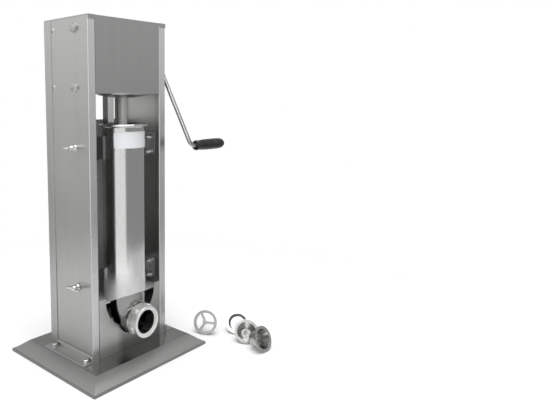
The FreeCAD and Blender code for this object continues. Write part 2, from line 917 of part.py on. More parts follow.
# ---------------------------------------------------------------- cylinder, saddles and post
def build_saddles():
    """The two saddles behind the cylinder, their bolts, the wing screws' bushes and the post."""
    bolts, bushes = [], []
    for level in ("upper", "lower"):
        middle = f"base_height + {level}_saddle_height"
        span = (f"{middle} - saddle_height / 2", f"{middle} + saddle_height / 2")
        centre = ("0", "axis_y")
        band = rod(f"{level}_saddle_band", "z", centre, "saddle_outer", span)
        wings = block(
            f"{level}_saddle_wings",
            ("-wall + sheet_gap", "wall - sheet_gap"),
            ("fixing_y + saddle_reach", "fixing_y + saddle_reach + saddle_sheet"),
            span,
        )
        ears = [
            block(
                f"{level}_saddle_ear_{tag}",
                x,
                ("fixing_y - saddle_reach", "fixing_y + saddle_reach + saddle_sheet"),
                span,
            )
            for tag, x in (
                ("left", ("-wall + sheet_gap", "-wall + sheet_gap + saddle_sheet")),
                ("right", ("wall - sheet_gap - saddle_sheet", "wall - sheet_gap")),
            )
        ]
        bore = rod(
            f"{level}_saddle_bore", "z", centre, "saddle_inner", (f"{span[0]} - 1", f"{span[1]} + 1")
        )
        open_front = block(
            f"{level}_saddle_open",
            ("-saddle_outer - 1", "saddle_outer + 1"),
            ("axis_y - saddle_outer - 1", "fixing_y + saddle_lip"),
            (f"{span[0]} - 1", f"{span[1]} + 1"),
        )
        holes = []
        ear_x = "wall - sheet_gap - saddle_sheet"
        for tag, z in saddle_bolt_levels(level):
            name, place = f"{level}_saddle_bolt_{tag}", ("fixing_y", z)
            reach = (ear_x + " - 1", "wall + 1")
            holes.append(rod(name + "_hole", "x", place, "saddle_bolt_radius + hole_gap", reach))
            length = (ear_x + " - saddle_bolt_length", "side + 1")
            shank = rod(name + "_shank", "x", place, "saddle_bolt_radius", length)
            head_run = ("side", "side + saddle_bolt_head")
            head = hexagon(name + "_head", "x", place, "saddle_bolt_flats", head_run)
            nut_run = (ear_x + " - saddle_nut_height", ear_x)
            nut = hexagon(name + "_nut", "x", place, "saddle_bolt_flats", nut_run)
            bolts.append(join(name, [shank, head, nut]))
        near = "-wall + sheet_gap"
        for tag, z in wing_levels(level):
            place = ("fixing_y", z)
            reach = (near + " - 1", near + " + saddle_sheet + 1")
            holes.append(rod(f"{level}_wing_hole", "x", place, "wing_bush_radius + tap_gap", reach))
            thread, run = "saddle_bolt_radius + running_fit", (near, near + " + wing_bush_length")
            bushes.append(tube(f"{level}_wing_bush", "x", place, "wing_bush_radius", thread, run))
        tab = block(
            f"{level}_saddle_tab",
            ("post_offset - post_side / 2", "post_offset + post_side / 2"),
            ("axis_y + saddle_inner", "post_front"),
            span,
        )
        shape = join(f"{level}_saddle_joined", [band, wings, tab] + ears)
        node(cut(f"{level}_saddle_cut", shape, [bore, open_front] + holes), f"{level}_saddle")
    node(group("saddle_bolt_set", bolts), "saddle_bolts")
    node(group("wing_bush_set", bushes), "wing_screw_bushes")

    left, right = "post_offset - post_side / 2", "post_offset + post_side / 2"
    run = ("post_front", "post_front + post_side")
    post = block("post_bar", (left, right), run, ("shelf_z", "head_bottom"))
    bore = block(
        "post_bore",
        (f"{left} + panel_sheet", f"{right} - panel_sheet"),
        (f"{run[0]} + panel_sheet", f"{run[1]} - panel_sheet"),
        ("shelf_z - 1", "head_bottom + 1"),
    )
    node(cut("post_cut", post, [bore]), "support_post")


def build_wing_screws():
    """The two wing screws on the left side; each turns on its own."""
    for level in ("upper", "lower"):
        (tag, z), = wing_levels(level)
        centre = ("fixing_y", z)
        run = ("-side - 2", "-side + wing_shank_length")
        shank = rod(f"{level}_wing_shank", "x", centre, "saddle_bolt_radius", run)
        run = ("-side - wing_collar_end", "-side - sheet_gap")
        collar = rod(f"{level}_wing_collar", "x", centre, "wing_bush_radius", run)
        run = ("-side - wing_boss_end", "-side - wing_collar_end")
        boss = cone(f"{level}_wing_boss", "x", centre, ("wing_tip_radius", "wing_boss_radius"), run)
        wings = []
        for way, low_y, high_y in (
            ("front", "fixing_y - wing_span", "fixing_y - wing_root"),
            ("back", "fixing_y + wing_root", "fixing_y + wing_span"),
        ):
            blade = block(
                f"{level}_wing_{way}",
                ("-side - wing_far", "-side - wing_near"),
                (low_y, high_y),
                (f"{z} - wing_thickness / 2", f"{z} + wing_thickness / 2"),
            )
            wings.append(blade)
        body = join(f"{level}_wing_joined", [shank, collar, boss] + wings)
        body = softened(f"{level}_wing_soft", body, "wing_round", wing_edges)
        node(body, f"{level}_wing_screw")


def wing_edges(edge):
    """The outer edges of a wing screw's two blades."""
    ends = [vertex.Point for vertex in edge.Vertexes]
    reach = [abs(point.y - size("fixing_y")) for point in ends]
    return len(ends) == 2 and min(reach) > size("wing_span") - 3


def softened(name, item, radius, wanted):
    """A fillet on the edges of a joined solid that the test picks."""
    doc.recompute()
    fillet = doc.addObject("Part::Fillet", name)
    fillet.Base = item
    value = size(radius)
    fillet.Edges = [
        (i, value, value) for i, edge in enumerate(item.Shape.Edges, start=1) if wanted(edge)
    ]
    return fillet


def beneath_mitre(name, lift):
    """A block that fills the space below the mitre plane, raised by a length along the tube."""
    half = "tube_radius * 2"
    slab = block(name + "_slab", (f"-{half}", half), (f"-{half}", half), ("-tube_radius * 3", "0"))
    tilted = group(name, [slab])
    tilted.Placement = Placement(Vector(), Rotation(Vector(-1, 0, 0), 1))
    bind(tilted, "Placement.Rotation.Angle", "mitre_angle")
    set_base(tilted, ("0", "axis_y", f"seam_z + {lift}"))
    return tilted


def build_cylinder():
    """The cylinder tube with its mitred foot and flared, beaded mouth, and the blank label on it."""
    centre = ("0", "axis_y")
    flare_low = "tube_top - flare_height"
    bead = "tube_top - 2 * flare_bead"
    outer = rod("tube_outer", "z", centre, "tube_radius", ("tube_foot", flare_low))
    flare = cone("tube_flare", "z", centre, ("tube_radius", "flare_radius"), (flare_low, bead))
    lip = rod("tube_lip", "z", centre, "flare_radius + flare_bead", (bead, "tube_top"))
    seat_run = ("shelf_z", "shelf_z + seat_height")
    seat = rod("tube_seat", "z", centre, "tube_radius + seat_overhang", seat_run)
    bore = rod("tube_bore_tool", "z", centre, "tube_bore", ("tube_foot - 1", flare_low))
    inner = ("tube_bore", "flare_radius - tube_wall")
    flare_bore = cone("tube_flare_bore", "z", centre, inner, (flare_low, bead))
    mouth = rod("tube_mouth", "z", centre, inner[1], (bead, "tube_top + 1"))
    shape = join("tube_joined", [outer, flare, lip, seat])
    tools = [bore, flare_bore, mouth, beneath_mitre("tube_mitre", "0")]
    node(cut("tube_cut", shape, tools), "cylinder_tube")

    low = "tube_top - label_drop"
    skin = tube(
        "label_ring",
        "z",
        centre,
        "tube_radius + label_thickness + running_fit",
        "tube_radius + running_fit",
        (low, low + " + label_height"),
    )
    sector = doc.addObject("Part::Cylinder", "label_sector")
    bind(sector, "Radius", "tube_radius * 1.1")
    bind(sector, "Height", "label_height")
    bind(sector, "Angle", "label_width / tube_radius * 180 / pi")
    sector.Placement = Placement(Vector(), Rotation(Vector(0, 0, -1), 90))
    bind(sector, "Placement.Rotation.Angle", "90 + label_width / tube_radius * 90 / pi")
    set_base(sector, centre + (low,))
    node(common("label_patch", skin, sector), "label_plate")


BEND_STEPS = 5


def bend(name, shrink):
    """One skin of the reducing bend, lofted through circles from the tube down to the spigot."""
    end = "(bend_end + spigot_flange)"
    rings = []
    for step in range(BEND_STEPS):
        turn = 90 * step / (BEND_STEPS - 1)
        ring = doc.addObject("Part::Circle", f"{name}_ring_{step}")
        ring.Placement = Placement(Vector(), Rotation(Vector(-1, 0, 0), 1))
        lying, upright = f"elbow_radius * cos({turn})", f"outlet_radius * sin({turn})"
        bind(ring, "Radius", f"sqrt(({lying}) ^ 2 + ({upright}) ^ 2) - {shrink}")
        bind(ring, "Placement.Rotation.Angle", f"atan2({upright}; {lying})")
        set_base(
            ring,
            (
                "0",
                f"{end} + (axis_y - {end}) * cos({turn})",
                f"bend_z - (bend_z - outlet_z) * sin({turn})",
            ),
        )
        rings.append(ring)
    loft = doc.addObject("Part::Loft", name)
    loft.Sections = rings
    loft.Solid = True
    return loft


def build_outlet():
    """The reducing elbow, the threaded spigot on its end, the gasket and the lugged ring nut."""
    centre = ("0", "outlet_z")
    upright = ("0", "axis_y")
    neck_run = ("bend_z", "seam_z + seam_rise + elbow_collar + 1")
    neck = rod("elbow_neck", "z", upright, "tube_bore - press_fit", neck_run)
    passage = rod("elbow_passage", "z", upright, "elbow_radius - elbow_wall", neck_run)
    shape = join("elbow_joined", [bend("elbow_outer", "0"), neck])
    hollow = cut("elbow_hollowed", shape, [bend("elbow_inner", "elbow_wall"), passage])
    node(common("elbow_mitred", hollow, beneath_mitre("elbow_mitre", "elbow_collar")), "outlet_elbow")

    flange_run = ("bend_end", "bend_end + spigot_flange")
    flange = rod("spigot_disc", "y", centre, "outlet_radius", flange_run)
    thread = rod("spigot_thread", "y", centre, "thread_radius", ("elbow_face", "bend_end"))
    through = ("elbow_face - 1", "bend_end + spigot_flange + 1")
    bore = rod("spigot_bore", "y", centre, "outlet_bore", through)
    node(cut("spigot_cut", join("spigot_joined", [flange, thread]), [bore]), "outlet_spigot")

    run = ("outlet_face + nut_lip", "elbow_face")
    node(tube("gasket_ring", "y", centre, "thread_radius", "outlet_bore", run), "outlet_gasket")

    rim_end = "outlet_face + nut_rim_width"
    sleeve = rod("nut_sleeve", "y", centre, "nut_radius", ("outlet_face + nut_lip", "nut_back"))
    rim = rod("nut_rim", "y", centre, "nut_rim_radius", ("outlet_face", rim_end))
    lugs = []
    for number in range(int(size("nut_lugs"))):
        lug = block(
            f"nut_lug_{number}",
            ("-lug_width / 2", "lug_width / 2"),
            ("nut_back - lug_length", "nut_back"),
            ("thread_radius + lug_root", "lug_radius"),
        )
        lug_tilt = Rotation(Vector(0, 1, 0), size("lug_turn") - number * 360 / size("nut_lugs"))
        turned_lug = group(f"nut_lug_{number}_turned", [lug])
        turned_lug.Placement = Placement(Vector(), lug_tilt)
        bind(turned_lug, "Placement.Base.z", "outlet_z")
        lugs.append(turned_lug)
    run = ("outlet_face + nut_lip", "nut_back + 1")
    inside = rod("nut_inside", "y", centre, "thread_radius + running_fit * 2", run)
    mouth = rod("nut_mouth", "y", centre, "nut_mouth_radius", ("outlet_face - 1", "nut_back"))
    nut = join("nut_joined", [sleeve, rim] + lugs)
    node(cut("nut_cut", nut, [inside, mouth]), "outlet_ring_nut")


# ---------------------------------------------------------------- gears
def involute_outline(module, teeth, backlash, phase):
    """The closed outline of a spur gear with 20 degree flanks; one tooth points along phase."""
    pressure = math.radians(20)
    pitch = module * teeth / 2
    base = pitch * math.cos(pressure)
    root, tip = pitch - 1.25 * module, pitch + module
    half_pitch_angle = (math.pi * module / 2 - backlash / 2) / (2 * pitch)
    roll = math.tan(pressure) - pressure
    flank = []
    for step in range(4):
        radius = max(base, root) + (tip - max(base, root)) * step / 3
        angle = math.acos(min(1.0, base / radius))
        flank.append((radius, half_pitch_angle + roll - (math.tan(angle) - angle)))
    if base > root:
        flank.insert(0, (root, flank[0][1]))
    points = []
    for tooth in range(teeth):
        middle = phase + 2 * math.pi * tooth / teeth
        for radius, half in flank:
            points.append((radius * math.cos(middle - half), radius * math.sin(middle - half)))
        for radius, half in reversed(flank):
            points.append((radius * math.cos(middle + half), radius * math.sin(middle + half)))
    return points


def gear(name, module_alias, teeth_alias, phase, centre, span):
    """A toothed disc whose axis lies along X."""
    backlash = size("tooth_backlash")
    points = involute_outline(size(module_alias), int(size(teeth_alias)), backlash, phase)
    low, high = span
    corners = [Vector(low, centre[0] + y, centre[1] + z) for y, z in points]
    face = Part.Face(Part.makePolygon(corners + corners[:1]))
    return solid(name, face.extrude(Vector(high - low, 0, 0)))


def build_gear_train():
    """Rack pinion and idler wheel on their axle, and the crank's own pinion and shaft."""
    idler = (size("idler_y"), size("idler_z"))
    shaft = (size("shaft_y"), size("shaft_z"))
    line = math.atan2(shaft[1] - idler[1], shaft[0] - idler[0])
    half_width = size("pinion_width") / 2
    plane, half_gear = size("gear_plane"), size("gear_width") / 2
    wheel_span = (plane - half_gear, plane + half_gear)

    axle = ("idler_y", "idler_z")
    bush_radius = "idler_axle_radius + bush_wall"
    sleeve_radius = bush_radius + " + sleeve_wall"
    sleeve_end = "gear_plane + gear_width / 2 + sleeve_end_reach"
    pinion_low = "-pinion_width / 2"
    pinion_span = (-half_width, half_width)
    teeth = gear("rack_pinion_teeth", "rack_module", "pinion_teeth", math.pi, idler, pinion_span)
    sleeve = rod("rack_pinion_sleeve", "x", axle, sleeve_radius, ("0", sleeve_end))
    through = (pinion_low + " - 1", sleeve_end + " + 1")
    bore = rod("rack_pinion_bore", "x", axle, bush_radius + " + press_fit", through)
    node(cut("rack_pinion_cut", join("rack_pinion_joined", [teeth, sleeve]), [bore]), "rack_pinion")

    wheel = gear("idler_teeth_disc", "gear_module", "idler_teeth", line, idler, wheel_span)
    through = ("0", sleeve_end + " + 1")
    wheel_bore = rod("idler_bore", "x", axle, sleeve_radius + " + press_fit", through)
    node(cut("idler_cut", wheel, [wheel_bore]), "intermediate_gear")

    bushes = [
        tube(f"axle_bush_{tag}", "x", axle, bush_radius, "idler_axle_radius + running_fit", span)
        for tag, span in (
            ("left", (pinion_low, pinion_low + " + axle_bush_length")),
            ("right", (sleeve_end + " - axle_bush_length", sleeve_end)),
        )
    ]
    node(group("axle_bush_set", bushes), "axle_bushes")

    left_in = "-left_plate_plane + gear_plate_sheet / 2"
    left_out = "-left_plate_plane - gear_plate_sheet / 2"
    right_in = "right_plate_plane - gear_plate_sheet / 2"
    right_out = "right_plate_plane + gear_plate_sheet / 2"
    reach = (left_out + " - idler_axle_end", right_out + " + idler_axle_end")
    node(rod("idler_axle_bar", "x", axle, "idler_axle_radius", reach), "pinion_axle")
    nuts = []
    for tag, span in (
        ("left", (left_out + " - axle_nut_height", left_out)),
        ("right", (right_out, right_out + " + axle_nut_height")),
    ):
        nut = hexagon(f"axle_nut_{tag}_hex", "x", axle, "axle_nut_flats", span)
        through = (span[0] + " - 1", span[1] + " + 1")
        hole = rod(f"axle_nut_{tag}_hole", "x", axle, "idler_axle_radius + press_fit", through)
        nuts.append(cut(f"axle_nut_{tag}", nut, [hole]))
    node(group("axle_nut_set", nuts), "axle_nuts")
    spacers = [
        tube(f"axle_spacer_{tag}", "x", axle, bush_radius, "idler_axle_radius + 2 * running_fit", span)
        for tag, span in (
            ("left", (left_in, pinion_low + " - sheet_gap")),
            ("right", (sleeve_end + " + sheet_gap", right_in)),
        )
    ]
    node(group("axle_spacer_set", spacers), "axle_spacers")

    place = ("shaft_y", "shaft_z")
    shaft_end = "arm_x + hub_length / 2"
    shaft_run = (left_out + " - shaft_end_reach", shaft_end)
    node(rod("crank_shaft_bar", "x", place, "shaft_radius", shaft_run), "crank_shaft")
    gap_phase = line + math.pi + math.pi / int(size("crank_teeth"))
    small = gear("crank_pinion_teeth", "gear_module", "crank_teeth", gap_phase, shaft, wheel_span)
    through = ("0", "right_plate_plane")
    small_bore = rod("crank_pinion_bore", "x", place, "shaft_radius + press_fit", through)
    node(cut("crank_pinion_cut", small, [small_bore]), "crank_pinion")

    plate_bushes = [
        tube(f"shaft_bush_{tag}", "x", place, "shaft_radius + bush_wall", "shaft_radius + running_fit", span)
        for tag, span in (("left", (left_out, left_in)), ("right", (right_in, right_out)))
    ]
    node(group("shaft_bush_set", plate_bushes), "shaft_bushes")
    run = ("side", "side + bearing_flange_thickness")
    housing = rod("shaft_housing_flange", "x", place, "bearing_flange_radius", run)
    run = ("wall - bearing_collar_in", "side + bearing_collar_out")
    collar = rod("shaft_housing_collar", "x", place, "shaft_radius + bush_wall", run)
    through = (run[0] + " - 1", run[1] + " + 1")
    housing_bore = rod("shaft_housing_bore", "x", place, "shaft_radius + running_fit", through)
    joined = join("shaft_housing_joined", [housing, collar])
    node(cut("shaft_housing_cut", joined, [housing_bore]), "outer_shaft_bearing")


def build_rack():
    """The round rack with its piston, seal and nut."""
    module = size("rack_module")
    pitch = math.pi * module
    pitch_y, contact = size("rack_pitch_y"), size("idler_z")
    tip_y, root_y = pitch_y + module, pitch_y - 1.25 * module
    slope = math.tan(math.radians(20))
    half_gap = pitch / 4 + size("tooth_backlash") / 4
    low, high = size("piston_high"), size("column_top")
    below = int((size("stroke") + size("tooth_run_out")) // pitch)
    above = int(size("tooth_run_out") // pitch)
    front = size("axis_y") - size("rack_radius") - 1
    points = [(front, low), (tip_y + 8, low)]
    for step in range(-below, above + 1):
        middle = contact + step * pitch
        root_half = half_gap - (pitch_y - root_y) * slope
        tip_half = half_gap + (tip_y - pitch_y) * slope
        points += [
            (tip_y + 8, middle - tip_half - 8 * slope),
            (root_y, middle - root_half),
            (root_y, middle + root_half),
            (tip_y + 8, middle + tip_half + 8 * slope),
        ]
    points += [(tip_y + 8, high), (front, high)]
    width = size("rack_radius") + 1
    corners = [Vector(-width, y, z) for y, z in points]
    face = Part.Face(Part.makePolygon(corners + corners[:1]))
    comb = solid("rack_comb", face.extrude(Vector(2 * width, 0, 0)))
    centre = ("0", "axis_y")
    bar = rod("rack_round", "z", centre, "rack_radius", ("piston_high", "column_top"))
    toothed = common("rack_toothed", bar, comb)
    flat = block(
        "rack_flat",
        ("-rack_radius", "rack_radius"),
        ("rack_pitch_y + rack_module", "axis_y + rack_radius + 1"),
        ("idler_z - stroke - tooth_run_out", "idler_z + tooth_run_out"),
    )
    stud = rod("rack_stud", "z", centre, "stud_radius", ("piston_low - stud_length", "piston_high"))
    node(join("rack_joined", [cut("rack_flatted", toothed, [flat]), stud]), "rack_bar")

    groove_low = "(piston_low + piston_high) / 2 - seal_height / 2"
    groove_high = "(piston_low + piston_high) / 2 + seal_height / 2"
    land = "tube_bore - piston_land"
    disc = rod("piston_disc", "z", centre, land, ("piston_low", "piston_high"))
    groove_run = (groove_low, groove_high)
    groove = tube("piston_groove", "z", centre, "tube_bore", land + " - seal_depth", groove_run)
    through = ("piston_low - 1", "piston_high + 1")
    hole = rod("piston_hole", "z", centre, "stud_radius + press_fit", through)
    dish_run = ("piston_high - piston_dish_depth", "piston_high + 0.01")
    dish = cone("piston_dish", "z", centre, ("piston_dish_low", "piston_dish_high"), dish_run)
    boss_run = ("piston_high - piston_dish_depth - 1", "piston_high")
    boss = rod("piston_boss", "z", centre, "piston_boss_radius", boss_run)
    node(cut("piston_cut", disc, [groove, hole, cut("piston_dish_ring", dish, [boss])]), "piston")
    seal = tube(
        "seal_ring",
        "z",
        centre,
        "tube_bore - seal_fit",
        land + " - seal_depth + press_fit",
        (groove_low + " + running_fit", groove_high + " - running_fit"),
    )
    node(seal, "piston_seal")
    nut_run = ("piston_low - piston_nut_height", "piston_low")
    nut = hexagon("piston_nut_hex", "z", centre, "piston_nut_flats", nut_run)
    through = (nut_run[0] + " - 1", "piston_low + 1")
    nut_hole = rod("piston_nut_hole", "z", centre, "stud_radius + press_fit", through)
    node(cut("piston_nut_cut", nut, [nut_hole]), "piston_nut")


# ---------------------------------------------------------------- head
def outward(sign, near, far):
    """The bounds along X between two distances from the middle, on the left or the right side."""
    return (near, far) if sign > 0 else (f"-({far})", f"-({near})")


def build_head():
    """Cross frames, gear plates, head bolts and rivets, and the rack's two guides."""
    centre = ("0", "axis_y")
    run = ("inner_front", "back - rear_flange")
    inside = "wall - sheet_gap"
    ear = "wall - sheet_gap - frame_sheet"
    low_plate = ("head_bottom", "head_bottom + frame_sheet")
    high_plate = ("frame_high - frame_sheet", "frame_high")
    for level, plate_z, ear_z in (
        ("lower", low_plate, ("head_bottom", "head_bottom + lower_frame_ear")),
        ("upper", high_plate, ("frame_high - upper_frame_ear", "frame_high")),
    ):
        plate = block(f"head_{level}_plate", (f"-({inside})", inside), run, plate_z)
        tongue = block(
            f"head_{level}_tongue",
            ("-frame_tongue_half_width", "frame_tongue_half_width"),
            ("front + cover_hem + cover_sheet", "axis_y"),
            plate_z,
        )
        ears = [
            block(f"head_{level}_ear_left", (f"-({inside})", f"-({ear})"), run, ear_z),
            block(f"head_{level}_ear_right", (ear, inside), run, ear_z),
        ]
        through, bore = (f"{plate_z[0]} - 1", f"{plate_z[1]} + 1"), "rack_radius + bush_wall + press_fit"
        holes = [rod(f"head_{level}_guide_hole", "z", centre, bore, through)]
        for tag, sign in (("left", "-"), ("right", "+")):
            span = (f"{sign}wall - 5", f"{sign}wall + 5")
            z, name = f"{level}_bolt_z", f"head_{level}_{tag}"
            bore = "head_bolt_radius + hole_gap"
            holes.append(rod(name + "_bolt_hole", "x", ("fixing_y", z), bore, span))
            bore = "rivet_radius + running_fit"
            holes.append(rod(name + "_rivet_hole", "x", ("rivet_y", z), bore, span))
        if level == "upper":
            for tag, x, y in top_screw_places():
                holes.append(rod(f"head_tap_{tag}", "z", (x, y), "screw_radius + tap_gap", through))
        frame = cut(f"head_{level}_cut", join(f"head_{level}_joined", [plate, tongue] + ears), holes)
        node(frame, f"head_{level}_frame")

    for tag, plane in (("left", "-left_plate_plane"), ("right", "right_plate_plane")):
        span = (f"{plane} - gear_plate_sheet / 2", f"{plane} + gear_plate_sheet / 2")
        plate = block(
            f"gear_plate_{tag}_sheet",
            span,
            ("front + flange_return + gear_plate_setback", "fixing_y + gear_plate_reach"),
            ("head_bottom + frame_sheet", "frame_high - frame_sheet"),
        )
        reach = (f"{span[0]} - 1", f"{span[1]} + 1")
        axle_hole, shaft_hole = "idler_axle_radius + running_fit", "shaft_radius + bush_wall + press_fit"
        holes = [
            rod(f"gear_plate_{tag}_axle", "x", ("idler_y", "idler_z"), axle_hole, reach),
            rod(f"gear_plate_{tag}_shaft", "x", ("shaft_y", "shaft_z"), shaft_hole, reach),
        ]
        node(cut(f"gear_plate_{tag}_cut", plate, holes), f"gear_plate_{tag}")

    bolts, rivets = [], []
    for level in ("upper", "lower"):
        z = f"{level}_bolt_z"
        for tag, sign in (("left", -1), ("right", 1)):
            name, place = f"head_bolt_{level}_{tag}", ("fixing_y", z)
            run = outward(sign, f"{ear} - head_nut_height - inner_gap", "side + head_bolt_head / 2")
            shank = rod(name + "_shank", "x", place, "head_bolt_radius", run)
            run = outward(sign, "side", "side + head_bolt_head")
            head = hexagon(name + "_head", "x", place, "head_bolt_flats", run)
            run = outward(sign, f"{ear} - head_nut_height", ear)
            nut = hexagon(name + "_nut", "x", place, "head_bolt_flats", run)
            bolts.append(join(name, [shank, head, nut]))
            name, place = f"head_rivet_{level}_{tag}", ("rivet_y", z)
            run = outward(sign, ear, "side + rivet_head_height / 2")
            stem = rod(name + "_stem", "x", place, "rivet_radius", run)
            run = outward(sign, "side", "side + rivet_head_height")
            dome = rod(name + "_dome", "x", place, "rivet_head_radius", run)
            run = outward(sign, f"{ear} - rivet_tail_height", ear)
            tail = rod(name + "_tail", "x", place, "rivet_tail_radius", run)
            rivets.append(join(name, [stem, dome, tail]))
    node(group("head_bolt_set", bolts), "head_bolts")
    node(group("head_rivet_set", rivets), "head_rivets")

    bore = "rack_radius + running_fit + 0.01"
    boss = "rack_radius + bush_wall"
    low = [
        (bore, "head_bottom - guide_disc_drop"),
        (boss + " + guide_flat", "head_bottom - guide_disc_drop"),
        ("guide_disc_radius - 2", "head_bottom - guide_disc_dish"),
        ("guide_disc_radius", "head_bottom - guide_disc_edge"),
        ("guide_disc_radius", "head_bottom - press_fit"),
        (boss, "head_bottom - press_fit"),
        (boss, "head_bottom + guide_boss_rise"),
        (bore, "head_bottom + guide_boss_rise"),
    ]
    guide = turned("lower_guide_body", low)
    bind(guide, "Placement.Base.y", "axis_y")
    node(guide, "lower_rack_guide")
    high = [
        (bore, "column_top - upper_guide_drop"),
        (boss, "column_top - upper_guide_drop"),
        (boss, "column_top + top_sheet - upper_guide_gap"),
        (bore, "column_top + top_sheet - upper_guide_gap"),
    ]
    guide = turned("upper_guide_body", high)
    bind(guide, "Placement.Base.y", "axis_y")
    node(guide, "upper_rack_guide")


# ---------------------------------------------------------------- crank
def build_crank():
    """Hub, bent crank rod, its screw, and the turning grip."""
    place = ("shaft_y", "shaft_z")
    hub_low, hub_high = "arm_x - hub_length / 2", "arm_x + hub_length / 2"
    shaft = Vector(size("arm_x"), size("shaft_y"), size("shaft_z"))
    down = Vector(0, -size("crank_forward"), -size("crank_drop"))
    along = down.normalize()
    knee = shaft + Vector(0, -size("crank_forward"), -size("crank_drop"))
    bend, radius = size("crank_bend"), size("crank_radius")
    start = shaft + along * (size("shaft_radius") + size("sheet_gap"))
    before = knee - along * bend
    after = knee + Vector(bend, 0, 0)
    centre = before + Vector(bend, 0, 0)
    middle = centre + (knee - centre).normalize() * bend
    finish = Vector(size("grip_x") + size("grip_length") - size("rod_end"), knee.y, knee.z)
    path = Part.Wire(
        [
            Part.LineSegment(start, before).toShape(),
            Part.Arc(before, middle, after).toShape(),
            Part.LineSegment(after, finish).toShape(),
        ]
    )
    ring = Part.Wire([Part.Edge(Part.Circle(start, along, radius))])
    bar = solid("crank_bar", path.makePipeShell([ring], True, True))
    node(bar, "crank_rod")

    hub = rod("hub_round", "x", place, "hub_radius", (hub_low, hub_high))
    socket = doc.addObject("Part::Cylinder", "hub_socket")
    bind(socket, "Radius", "crank_radius + press_fit")
    bind(socket, "Height", "hub_radius * 2")
    socket.Placement = Placement(shaft, Rotation(Vector(0, 0, 1), along))
    through = (hub_low + " - 1", hub_high + " + 1")
    hub_bore = rod("hub_bore", "x", place, "shaft_radius + press_fit", through)
    node(cut("hub_cut", hub, [socket, hub_bore]), "crank_hub")
    seat = hub_high + " + hub_washer"
    cap = rod("hub_screw_washer", "x", place, "hub_radius - 2", (hub_high, seat))
    head = hexagon("hub_screw_head", "x", place, "hub_screw_flats", (seat, seat + " + hub_screw_head"))
    node(join("hub_screw_joined", [cap, head]), "hub_screw")

    centre_line = ("grip_y", "grip_z")
    bore = "crank_radius + running_fit"
    low, length = "grip_x", "grip_length"
    section = [
        (bore, "0"),
        ("grip_radius - 3.2", "0"),
        ("grip_radius - 1.2", "2"),
        ("grip_radius - 1.2", "grip_neck_length - 3"),
        ("grip_radius - 2.2", "grip_neck_length"),
        ("grip_radius - 0.6", "grip_swell_length"),
        ("grip_radius", f"{length} / 2"),
        ("grip_radius - 0.2", f"{length} - grip_round_length"),
        ("grip_radius - 1.6", f"{length} - grip_round_length / 2"),
        ("grip_radius - 4", f"{length} - grip_end"),
        ("grip_pocket_radius", f"{length} - grip_end"),
        ("grip_pocket_radius", f"{length} - grip_pocket"),
        (bore, f"{length} - grip_pocket"),
    ]
    grip = turned("grip_body", section, Placement(Vector(), AXIS_TURN["x"]))
    set_base(grip, (low,) + centre_line)
    node(grip, "grip")
    nut_start = f"{low} + {length} - grip_pocket + sheet_gap"
    outer, run = "grip_pocket_radius - sheet_gap", (nut_start, nut_start + " + grip_nut_length")
    washer = tube("grip_nut_ring", "x", centre_line, outer, "crank_radius + press_fit", run)
    node(washer, "grip_nut")
    cap = turned(
        "grip_cap_body",
        [
            ("0", f"{length} - rod_end + 1"),
            ("grip_pocket_radius - press_fit", f"{length} - rod_end + 1"),
            ("grip_pocket_radius - press_fit", f"{length} - grip_end + 0.1"),
            ("grip_radius - 4", f"{length} - grip_end + 0.1"),
            ("grip_radius - 7.5", f"{length} - 0.9"),
            ("0", length),
        ],
        Placement(Vector(), AXIS_TURN["x"]),
    )
    set_base(cap, (low,) + centre_line)
    node(cap, "grip_cap")


# ---------------------------------------------------------------- loose dies
def die_profile(depth, tail, exit_radius):
    """A die's half section: flange, tapering wall and an end wall with its round exit."""
    mouth = "die_spigot_radius - die_wall"
    section = [
        (mouth, "0"),
        ("die_radius", "0"),
        ("die_radius", "die_flange"),
        ("die_spigot_radius", "die_flange"),
        (tail, depth),
        (exit_radius, depth),
        (exit_radius, f"{depth} - die_wall"),
        (f"{tail} - die_wall", f"{depth} - die_wall"),
    ]
    return section


def lay_down(item, alias, tail, depth):
    """Rests a die on the floor at its own place, on its flange's rim and the rim of its tail."""
    place = Vector(size(alias + "_x"), -size(alias + "_y"), 0)
    heading = size(alias + "_heading")
    flange = size("die_radius")
    lean = math.degrees(math.atan2(flange - tail, depth))
    turn = Rotation(Vector(0, 0, 1), heading).multiply(Rotation(Vector(0, 1, 0), 90 + lean))
    drop = min(turn.multVec(point).z for point in die_rims(flange, tail, depth))
    item.Placement = Placement(place + Vector(0, 0, size("die_lift") - drop), turn)


def die_rims(flange, tail, depth):
    """Points round a die's resting rims, in its own frame."""
    for step in range(360):
        turn = math.radians(step)
        for radius, level in ((flange, 0), (flange, size("die_flange")), (tail, depth)):
            yield Vector(radius * math.cos(turn), radius * math.sin(turn), level)


def star(name, points, outer, inner, depth):
    """A star-shaped cutter through a die's end wall."""
    corners = []
    for step in range(2 * points):
        radius = outer if step % 2 == 0 else inner
        turn = math.pi * step / points
        corners.append(Vector(radius * math.cos(turn), radius * math.sin(turn), depth / 2))
    face = Part.Face(Part.makePolygon(corners + corners[:1]))
    return solid(name, face.extrude(Vector(0, 0, depth)))


